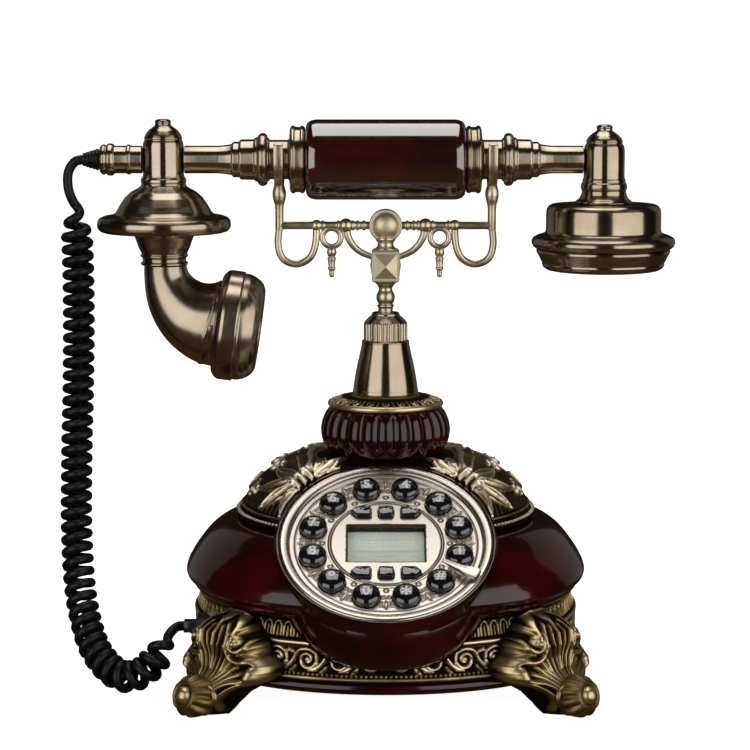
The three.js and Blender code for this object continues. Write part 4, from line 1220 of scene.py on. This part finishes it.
def foot_relief():
    """One half of the acanthus, drawn on both sides of the corner's ridge; the height is above the table."""
    r = Relief(80, 48, 0.2, wrap=False)
    veins = [
        ([(2, 2), (3, 10), (6, 19), (9, 26), (10.6, 32), (8.6, 37.4), (4, 40), (0, 39)], 1.1, 1.0, 2.4),
        ([(1.4, 3), (2, 12), (4, 21), (6.4, 28), (7.2, 33), (5, 36.4)], 0.9, 0.7, 2.0),
        ([(0.8, 8), (1, 18), (2.6, 26), (3.8, 32), (2.6, 35.4)], 0.8, 0.6, 1.9),
        ([(7.6, 2), (8.6, 6.4), (11.4, 10.4), (15.6, 13), (19.4, 13.6)], 0.9, 1.0, 2.1),
        ([(11, 26.5), (14.6, 27.6), (17, 31)], 0.9, 0.6, 2.0),
        ([(10, 34), (12.6, 36)], 0.9, 0.6, 2.0),
    ]
    curl = [(8.2, 33), (7.8, 27), (9.6, 23), (14, 22), (18.6, 23), (22, 21.4), (23, 18.4), (21.6, 15.8)]
    for k, tip in enumerate(((17.2, 14.8), (14.6, 17.4), (12.2, 19.6), (9.8, 21.8))):
        veins.append(([(4.4 - k * 0.5, 4), (6.6 - k * 0.9, 10 + k), (10.6 - k, 13.4 + k * 1.7), tip], 0.8, 1.35, 2.1))
    for hand in (-1, 1):
        at, _ = mirrored(RIDGE, hand, TABLE)
        for points, start, end, height in veins:
            r.stroke(curve_through([at(*point) for point in points], 40), start, end, height)
        r.stroke(curve_through([at(*point) for point in curl], 70), 0.9, 1.9, 2.5)
        r.stamp(*at(20.6, 17.2), 4.2, 3.9)
        r.scroll(*at(12.2, 30), 4.2, math.pi / 2 - hand * 2.0, -hand, 1.3, 1.1, 2.4)
        r.stamp(*at(12.2, 30), 1.9, 3.3)
        r.leaf(*at(12.4, 24.6), math.pi / 2 - hand * 1.2, 9, 2.2, 2.2, hand * -0.5, 2)
        r.leaf(*at(16, 27), math.pi / 2 - hand * 0.9, 6, 1.8, 2.0, hand * -0.6, 1)
        r.leaf(*at(12, 33), math.pi / 2 - hand * 0.45, 6.5, 1.8, 2.0, hand * -0.7, 1)
    r.stroke([(RIDGE, 6), (RIDGE, 40)], 0.9, 0.8, 2.2)
    r.stamp(RIDGE, 41, 2.4, 2.6)
    return r


def foot_points(columns, rows):
    """Front and back sheets of a corner foot, in the frame of the corner at 45 degrees."""
    relief = foot_relief()
    t = np.linspace(-1, 1, columns)
    z = np.linspace(0, FOOT_TOP, rows)
    width = np.interp(z, *np.array(FOOT_WIDTH).T)
    zz = np.repeat(z[:, None], columns, axis=1)
    u = t[None, :] * width[:, None]
    edge = np.minimum(width[:, None] - np.abs(u), (FOOT_TOP - zz) * 1.2)
    roll_width, roll_depth = 6.5, 8.0
    roll = np.clip(edge / roll_width, 0, 1)
    round_in = roll_depth * (1 - np.sqrt(1 - (1 - roll) ** 2))
    carving = relief.sample(u + RIDGE, zz + TABLE)
    toe_gap = (u / 12) ** 2 + ((zz - 4) / 13) ** 2
    flow = 9 * np.exp(-toe_gap * 1.5)
    # Carving fades where the edge rolls in.
    front = np.interp(z, *np.array(FOOT_SIDE)[:, ::-1].T)[:, None] + flow + (carving - 1.6) * roll**0.35
    back = np.interp(z, *np.array(FOOT_BACK)[:, ::-1].T)[:, None] + 0 * u
    front = np.maximum(front, back + round_in + 0.6)

    def place(half, sideways):
        angle = np.full(half.shape, math.pi / 4)
        for _ in range(8):
            radius = half * bowed_reach(angle)
            angle = math.pi / 4 + np.arcsin(np.clip(sideways / radius, -0.9, 0.9))
        radius = half * bowed_reach(angle)
        return np.stack([radius * np.cos(angle), radius * np.sin(angle), zz], axis=2)

    return place(front - round_in, u), place(back, u * 0.99), carving


def foot_piece(name, turn, node):
    columns, rows = 150, 118
    front, back, carving = foot_points(columns, rows)
    points = np.vstack([front.reshape(-1, 3), back.reshape(-1, 3)])
    count = rows * columns
    faces = grid_faces(rows, columns, wrap_columns=False)
    faces += [tuple(i + count for i in f[::-1]) for f in faces]
    border = list(range(columns)) + [i * columns + columns - 1 for i in range(1, rows)]
    border += [(rows - 1) * columns + j for j in range(columns - 2, -1, -1)]
    border += [i * columns for i in range(rows - 2, 0, -1)]
    for a, b in zip(border, border[1:] + border[:1]):
        faces.append((a, b, b + count, a + count))
    shine = np.concatenate([np.clip(carving.ravel() / 2.7, 0, 1) * 0.88 + 0.1, np.full(count, 0.1)])
    for part_points, part_faces, glow in toe_parts():
        offset = len(points)
        points = np.vstack([points, part_points])
        faces += [tuple(i + offset for i in f) for f in part_faces]
        shine = np.concatenate([shine, glow])
    place = STEM @ Matrix.Rotation(turn, 4, "Z")
    finish_relief(name, points, faces, ANTIQUE, shine, place, node)


def toe_parts():
    """The round toe with a raised eye painted pale as a highlight, and a curl on each side of it."""
    direction = np.array([math.cos(math.pi / 4), math.sin(math.pi / 4), 0])
    across = np.array([-direction[1], direction[0], 0])
    segments, sides = 132, 10
    profile = [(TOE_RADIUS * math.cos(a), TOE_RADIUS * math.sin(a)) for a in np.linspace(-math.pi / 2, 0.95, 40)]
    profile += [(5.2, 7.4), (4.4, 7.2), (3.9, 7.6)]
    profile += [(3.8 * math.cos(a), 7.4 + 3.2 * math.sin(a)) for a in np.linspace(0.1, math.pi / 2, 14)]

    def gadroons(angles, radii, z):
        return radii * (1 - 0.13 * np.abs(np.sin(5.5 * angles)) ** 3 * (1 if z < 7.1 else 0))

    sphere = lathe_points(profile, segments, gadroons)
    axis = direction * math.cos(0.3) + np.array([0, 0, math.sin(0.3)])
    rise = np.cross(axis, across)
    sphere = sphere[:, :1] * rise + sphere[:, 1:2] * across + sphere[:, 2:] * axis * 0.92
    sphere[:, 2] = np.maximum(sphere[:, 2] * 0.96 + TOE_Z, 0)
    # Relief values for the toe: the ball mid-toned, a darker groove under the eye, and the eye pale as a painted
    # highlight.
    glow = np.repeat([0.5] * 41 + [0.25] * 2 + [1.0] * (len(profile) - 43), segments)
    parts = [(sphere + direction * TOE_REACH, grid_faces(len(profile), segments), glow)]
    for hand in (-1, 1):
        a = np.linspace(0, 1, 70)
        swing = hand * (-0.5 + a * 5.4)
        reach = 8.6 * (1 - 0.74 * a)
        path = (direction * (TOE_REACH - 3 + 1.5 * a)[:, None] + across * (hand * 3 + reach * np.sin(swing))[:, None]
                + np.array([0, 0, 1]) * (TOE_Z + 1.6 - reach * np.cos(swing) * 0.7)[:, None])
        rings = tube_points(path, 1.5 - 0.5 * a, sides)
        rings[:, 2] = np.maximum(rings[:, 2], 0.05)
        parts.append((rings, capped_faces(len(path), sides), np.full(len(rings), 0.7)))
    return parts


crown()
skirt()
for quarter, foot_name in enumerate(("foot_rear_right", "foot_rear_left", "foot_front_left", "foot_front_right")):
    foot_piece(f"{foot_name}_cast", quarter * math.pi / 2, foot_name)

# ---- Dial ----
KEYS = [(name, 30 * place - 15) for place, name in enumerate((*"1234567890", "star", "hash"))]  # name, bearing
DIAL_MIDDLE = 42  # of the relief's canvas
CARVED_FROM, CARVED_TO, CARVED_DEPTH = 25.2, 37.6, 0.3  # the plate's band of relief
GROOVE_WIDTH = 0.22
KEY_HOLE_RADIUS = 6.0
KEY_RADIUS, KEY_EDGE = 5.7, 1.7  # a number key's cap, and the height where its dome starts
DOME_RADIUS, DOME_RISE = 5.9, 2.75
KEY_FOOT = -4.9
FUNCTION_ROW, FUNCTION_SPACING = 17.4, 10.6
COLUMNS = {-1: "left", 0: "middle", 1: "right"}


def key_place(degrees):
    angle = math.radians(degrees)
    return Vector((KEY_CIRCLE * math.cos(angle), KEY_CIRCLE * math.sin(angle), 0))


def dial_relief():
    """Scroll work and stippling between the keys, with small rings near the centre."""
    r = Relief(2 * DIAL_MIDDLE, 2 * DIAL_MIDDLE, 0.16, wrap=False)

    def spin(radius, a):
        return DIAL_MIDDLE + radius * math.cos(a), DIAL_MIDDLE + radius * math.sin(a)

    rng = np.random.default_rng(7)
    for _, degrees in KEYS:
        a = math.radians(degrees + 15)
        for hand in (-1, 1):
            r.scroll(*spin(34.4, a + hand * 0.085), 2.3, a + hand * 1.9, hand, 1.3, 0.42, 0.5)
            r.scroll(*spin(30.6, a + hand * 0.045), 1.3, a - hand * 1.2, -hand, 1.1, 0.34, 0.45)
            r.leaf(*spin(33.4, a + hand * 0.12), a + hand * 1.35, 3.2, 0.8, 0.45, hand * 0.6, 1)
        r.leaf(*spin(32.4, a), a, 4.4, 1.1, 0.55, 0, 2)
        for _ in range(60):
            radius, off = rng.uniform(29.2, 36.6), rng.uniform(-0.16, 0.16)
            r.stamp(*spin(radius, a + off * (radius - 24) / 12), rng.uniform(0.22, 0.4), rng.uniform(0.12, 0.26))
        cx, cy = spin(26.6, a)
        loop = [(cx + 0.95 * math.cos(b), cy + 0.95 * math.sin(b)) for b in np.linspace(0, 2 * math.pi, 14)]
        r.stroke(loop, 0.26, 0.26, 0.4)
    return r


def rectangle(half_width, half_height, corner):
    outline = [(-half_width, -half_height), (half_width, -half_height), (half_width, half_height),
               (-half_width, half_height)]
    return rounded(outline, corner, 3, closed=True)


def function_outline(column, clear):
    """Side keys are leaves that point outward, middle keys are shields."""
    width, height = (3 if column == 0 else 4.3) + clear, 2.7 + clear
    if column == 0:
        points = [(-width, -height), (width, -height), (width + 0.4, 0), (width, height), (-width, height),
                  (-width - 0.4, 0)]
    else:
        points = [(-width, -height), (width * 0.45, -height), (width, 0), (width * 0.45, height), (-width, height)]
    sign = -1 if column < 0 else 1
    return rounded([(x * sign, y) for x, y in points][::sign], 0.55, 3, closed=True)


def dial_plate():
    relief = dial_relief()
    rings = np.concatenate([np.linspace(0, 22.4, 30)[1:], np.linspace(22.8, 24.8, 22), np.linspace(25, 38, 82),
                            np.linspace(38.2, 40.2, 12)])
    columns, underside = 560, -3.2
    x = rings[:, None] * np.cos(bearings(columns))
    y = rings[:, None] * np.sin(bearings(columns))
    carving = relief.sample(x + DIAL_MIDDLE, y + DIAL_MIDDLE)
    groove = np.zeros_like(rings)
    for centre, depth in ((23.2, 0.5), (24.1, 0.5), (38.3, 0.4)):
        groove -= depth * np.exp(-(((rings - centre) / GROOVE_WIDTH) ** 2))
    band = ((rings > CARVED_FROM) & (rings < CARVED_TO))[:, None]
    z = np.where(band, carving - CARVED_DEPTH, 0) + groove[:, None]
    surface = np.stack([x, y, z], axis=2).reshape(-1, 3)
    low = np.stack([x[-1], y[-1], np.full(columns, underside)], axis=1)
    count = len(rings)
    points = np.vstack([surface, low, [(0, 0, 0), (0, 0, underside)]])
    faces = grid_faces(count + 1, columns)
    centre = (count + 1) * columns
    for j in range(columns):
        k = (j + 1) % columns
        faces += [(centre, k, j), (centre + 1, count * columns + j, count * columns + k)]
    raised = np.clip(carving / 0.5, 0, 1)
    # The relief's edges are dark; its tops and its ground are bright.
    plain = np.where(band, 0.9 - 2.3 * raised * (1 - raised), 0.93) + np.minimum(groove, 0)[:, None] * 1.7
    shine = np.concatenate([np.clip(plain, 0, 1).ravel(), np.full(columns + 2, 0.8)])
    outlines = [ring(KEY_HOLE_RADIUS, 0, 40)[:, :2] + key_place(degrees)[:2] for _, degrees in KEYS]
    outlines += [function_outline(column, 0.3) + [column * FUNCTION_SPACING, row * FUNCTION_ROW]
                 for column in COLUMNS for row in (1, -1)]
    outlines.append(rectangle(16.7, 10.9, 0.8))
    holes = [prism(f"hole_{k}", outline, -6, 3, bevel=0, place=DIAL) for k, outline in enumerate(outlines)]
    finish_relief("dial_plate", points, faces, DIAL_METAL, shine, DIAL, "keypad_plate", [join("holes", holes)],
                  "champagne")


def dial_ring():
    profile = [(40.4, -3.2), (44.9, -3.2), (45, 0.4), (44.9, 1), (44.5, 1.55), (43.9, 1.8), (43, 1.85), (41.6, 1.5),
               (40.7, 1), (40.4, 0.5)]
    turned("bezel", profile, CHAMPAGNE, 192, DIAL, "keypad_bezel", 0.25, True, "champagne", "base")
    blade = [(26.6, -0.9), (31, -1.3), (35.5, -1.9), (38.6, -3), (40.6, -3.2), (43.4, -2.6), (43.6, 2.4), (41.4, 2.9),
             (39.2, 2.2), (35, 1.2), (30, 0.8), (26.6, 0.6)]
    place = DIAL @ Matrix.Rotation(math.radians(-29), 4, "Z")
    install(prism("stop", rounded(blade, 0.5, 3, closed=True), 3, 4, CHAMPAGNE, 0.25, place), "base", "champagne",
            "finger_stop")


def glyph(name, text, size, place):
    """A raised character laid over a key's dome."""
    data = bpy.data.curves.new(name, "FONT")
    data.body = text
    data.size = size
    data.align_x, data.align_y = "CENTER", "CENTER"
    data.extrude = 0.16
    data.offset = 0.13
    data.resolution_u = 6
    obj = link_object(name, data)
    bpy.context.view_layer.update()
    mesh = bpy.data.meshes.new_from_object(obj.evaluated_get(bpy.context.evaluated_depsgraph_get()))
    bpy.data.objects.remove(obj)
    work = bmesh.new()
    work.from_mesh(mesh)
    bmesh.ops.remove_doubles(work, verts=work.verts, dist=0.001)
    bmesh.ops.triangulate(work, faces=work.faces)
    for _ in range(3):
        long_edges = [e for e in work.edges if e.calc_length() > 0.75]
        bmesh.ops.subdivide_edges(work, edges=long_edges, cuts=1)
        bmesh.ops.triangulate(work, faces=work.faces)
    xs, ys = [v.co.x for v in work.verts], [v.co.y for v in work.verts]
    shift = Vector(((max(xs) + min(xs)) / 2, (max(ys) + min(ys)) / 2, 0))
    for vertex in work.verts:
        vertex.co -= shift
        vertex.co.z += key_dome(math.hypot(vertex.co.x, vertex.co.y))
    return from_work(name, work, INK, place)


def key_dome(radius):
    """Height of a key's top at a distance from its centre."""
    return KEY_EDGE + DOME_RISE * math.sqrt(max(0, 1 - (min(radius, KEY_RADIUS) / DOME_RADIUS) ** 2))


def number_key(name, degrees):
    place = DIAL @ Matrix.Translation(key_place(degrees))
    dome = [(r, key_dome(r)) for r in (KEY_RADIUS, 5.6, 5.45, 5.2, 4.9, 4.4, 3.8, 3.2, 2.4, 1.6, 0.8, 0)]
    profile = [(0, KEY_FOOT), (6.5, KEY_FOOT), (6.5, -3.6), (KEY_RADIUS, -3.6), (KEY_RADIUS, 1.2), *dome]
    cap = lathe(f"cap_{name}", profile, BLACK, 64, place, corner=0)
    text, size = {"star": ("*", 10.5), "hash": ("#", 6.0)}.get(name, (name, 6.4))
    mark = glyph(f"mark_{name}", text, size, place)
    install(join(f"button_{name}", [cap, mark]), f"key_{name}", "black_plastic", f"key_{name}")


def function_key(column, row):
    name = f"key_{'upper' if row > 0 else 'lower'}_{COLUMNS[column]}"
    place = DIAL @ Matrix.Translation((column * FUNCTION_SPACING, row * FUNCTION_ROW, 0))
    cap = prism(f"cap_{name}", function_outline(column, 0), KEY_FOOT, 2.2, BLACK, 0.7, place)
    marks = [block(f"mark_{name}_{x}", (0.9, 0.45, 0.16), (x, 0.5, 2.24), INK, 0.05, place) for x in (-0.9, 0.9)]
    install(join(f"button_{name[4:]}", [cap, *marks]), name, "black_plastic", name)


def display():
    """A clear window over a pale panel with faint empty segments, and a dark frame between them that paints the shade
    of the recess walls.
    """
    window = block("window", (32.8, 21.2, 0.8), (0, 0, -2.2), CLEAR, 0.15, DIAL)
    install(window, "base", "clear_window", "display_window")
    parts = [block("panel", (36.4, 22.8, 2.4), (0, 0, -5), SCREEN, 0.2, DIAL)]
    segment_z, digits = -3.78, 10
    for digit in range(digits):
        x = -12.6 + digit * 2.8
        for y in (4.6, 2.9, 1.2):
            parts.append(block(f"bar_{digit}_{y}", (1.5, 0.16, 0.05), (x, y, segment_z), GHOST, 0, DIAL))
    for y in (-1.6, -4.2, -6.8):
        parts.append(block(f"rule_{y}", (28, 0.12, 0.05), (0, y, segment_z), GHOST, 0, DIAL))
    install(join("lcd", parts), "base", "screen", "display_module")
    # Painted shade: a dark frame under the window, widest along the top, stands in for the shade on the recess walls.
    painted_shade_frame = prism("painted_shade_frame", rectangle(16.5, 10.7, 0.7), -3.5, -2.75, SHADOW, 0, DIAL)
    opening = [(-15.9, -10.3), (15.9, -10.3), (15.9, 9.2), (-15.9, 9.2)]
    hole = prism("painted_shade_frame_hole", opening, -5, -1, bevel=0, place=DIAL)
    install(boolean(painted_shade_frame, [hole]), "base", "black_plastic")


dial_plate()
dial_ring()
for key_name, key_angle in KEYS:
    number_key(key_name, key_angle)
for key_column in COLUMNS:
    for key_row in (1, -1):
        function_key(key_column, key_row)
display()

# ---- CAD parts inside that keep their shape ----
INSIDE = {
    "keypad_board": CIRCUIT, "main_board": CIRCUIT, "cord_jack": GREY, "line_jack": GREY, "ringer_speaker": GREY,
    "hook_switch": GREY, "microphone_capsule": GREY, "receiver_capsule": GREY, "ballast_weight": STEEL,
    "hook_spring": STEEL,
}
for node_name, node_material in INSIDE.items():
    node_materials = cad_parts[node_name].data.materials
    node_materials.clear()
    node_materials.append(node_material)

# ---- Floor, backdrop and light, in metres ----
WARM = (1, 0.985, 0.96)


def softbox(name, centre, target, width, height, radiance, color=WARM):
    """A rectangular area light of a given surface brightness."""
    data = bpy.data.lights.new(name, "AREA")
    data.shape = "RECTANGLE"
    data.size, data.size_y = width, height
    data.energy = radiance * math.pi * width * height
    data.color = color
    light = link_object(name, data)
    light.visible_camera = False
    light.location = centre
    light.rotation_euler = (Vector(target) - Vector(centre)).to_track_quat("-Z", "Y").to_euler()


def lights():
    """A tall softbox at each side, from near the camera's line round to the object's side, and weaker fills."""
    reach, near = 2.4, math.radians(15.5)
    for side, far in ((-1, math.radians(64)), (1, math.radians(81))):
        a = Vector((side * reach * math.sin(near), -reach * math.cos(near), 0))
        b = Vector((side * reach * math.sin(far), -reach * math.cos(far), 0))
        centre = (a + b) / 2 + Vector((0, 0, 0.55))
        softbox(f"side_{side}", centre, (0, 0, 0.5), (b - a).length, 2.3, 1.45)
        softbox(f"rear_{side}", (side * 1.5, 1.8, 0.6), (0, 0, 0.3), 1.5, 2.0, 0.12)
    softbox("above", (0, 0.52, 2.3), (0, 0.52, 0), 1.5, 2.2, 2.3, (1, 0.985, 0.965))


def surroundings():
    """A dim world, brown below and near black above."""
    world = bpy.data.worlds.new("world")
    bpy.context.scene.world = world
    world.use_nodes = True
    tree = world.node_tree
    direction = tree.nodes.new("ShaderNodeTexCoord").outputs["Generated"]
    height = tree.nodes.new("ShaderNodeSeparateXYZ")
    shift = tree.nodes.new("ShaderNodeMath")
    shift.inputs[1].default_value = 1.0
    glow = tree.nodes.new("ShaderNodeValToRGB")
    tree.links.new(direction, height.inputs[0])
    tree.links.new(height.outputs["Z"], shift.inputs[0])
    tree.links.new(shift.outputs[0], glow.inputs[0])
    stops = (0.2, (0.07, 0.045, 0.018, 1)), (0.98, (0.015, 0.012, 0.010, 1))
    for element, (position, color) in zip(glow.color_ramp.elements, stops):
        element.position, element.color = position, color
    tree.links.new(glow.outputs[0], tree.nodes["Background"].inputs[0])
    bpy.context.scene.view_settings.view_transform = "Standard"
    bpy.context.scene.view_settings.look = "None"


def studio():
    """A round pale sweep, unseen by reflections and shadows."""
    f = Finish("backdrop", Emission_Color=(1, 1, 1, 1), Emission_Strength=0.96, Roughness=0.9, Specular_IOR_Level=0.0)
    f.color(f.ramp(f.noise(3, 2), (0.3, 0.84), (0.7, 0.86)))
    profile = [(0, 0), (2.9, 0), (3.2, 0.04), (3.45, 0.16), (3.6, 0.4), (3.6, 4.5)]
    segments = 96
    points = lathe_points(profile, segments) / MM
    sweep = new_object("studio_sweep", points, grid_faces(len(profile), segments), f.material)
    sweep.visible_glossy = False
    sweep.visible_diffuse = False
    sweep.visible_shadow = False


lights()
surroundings()
studio()
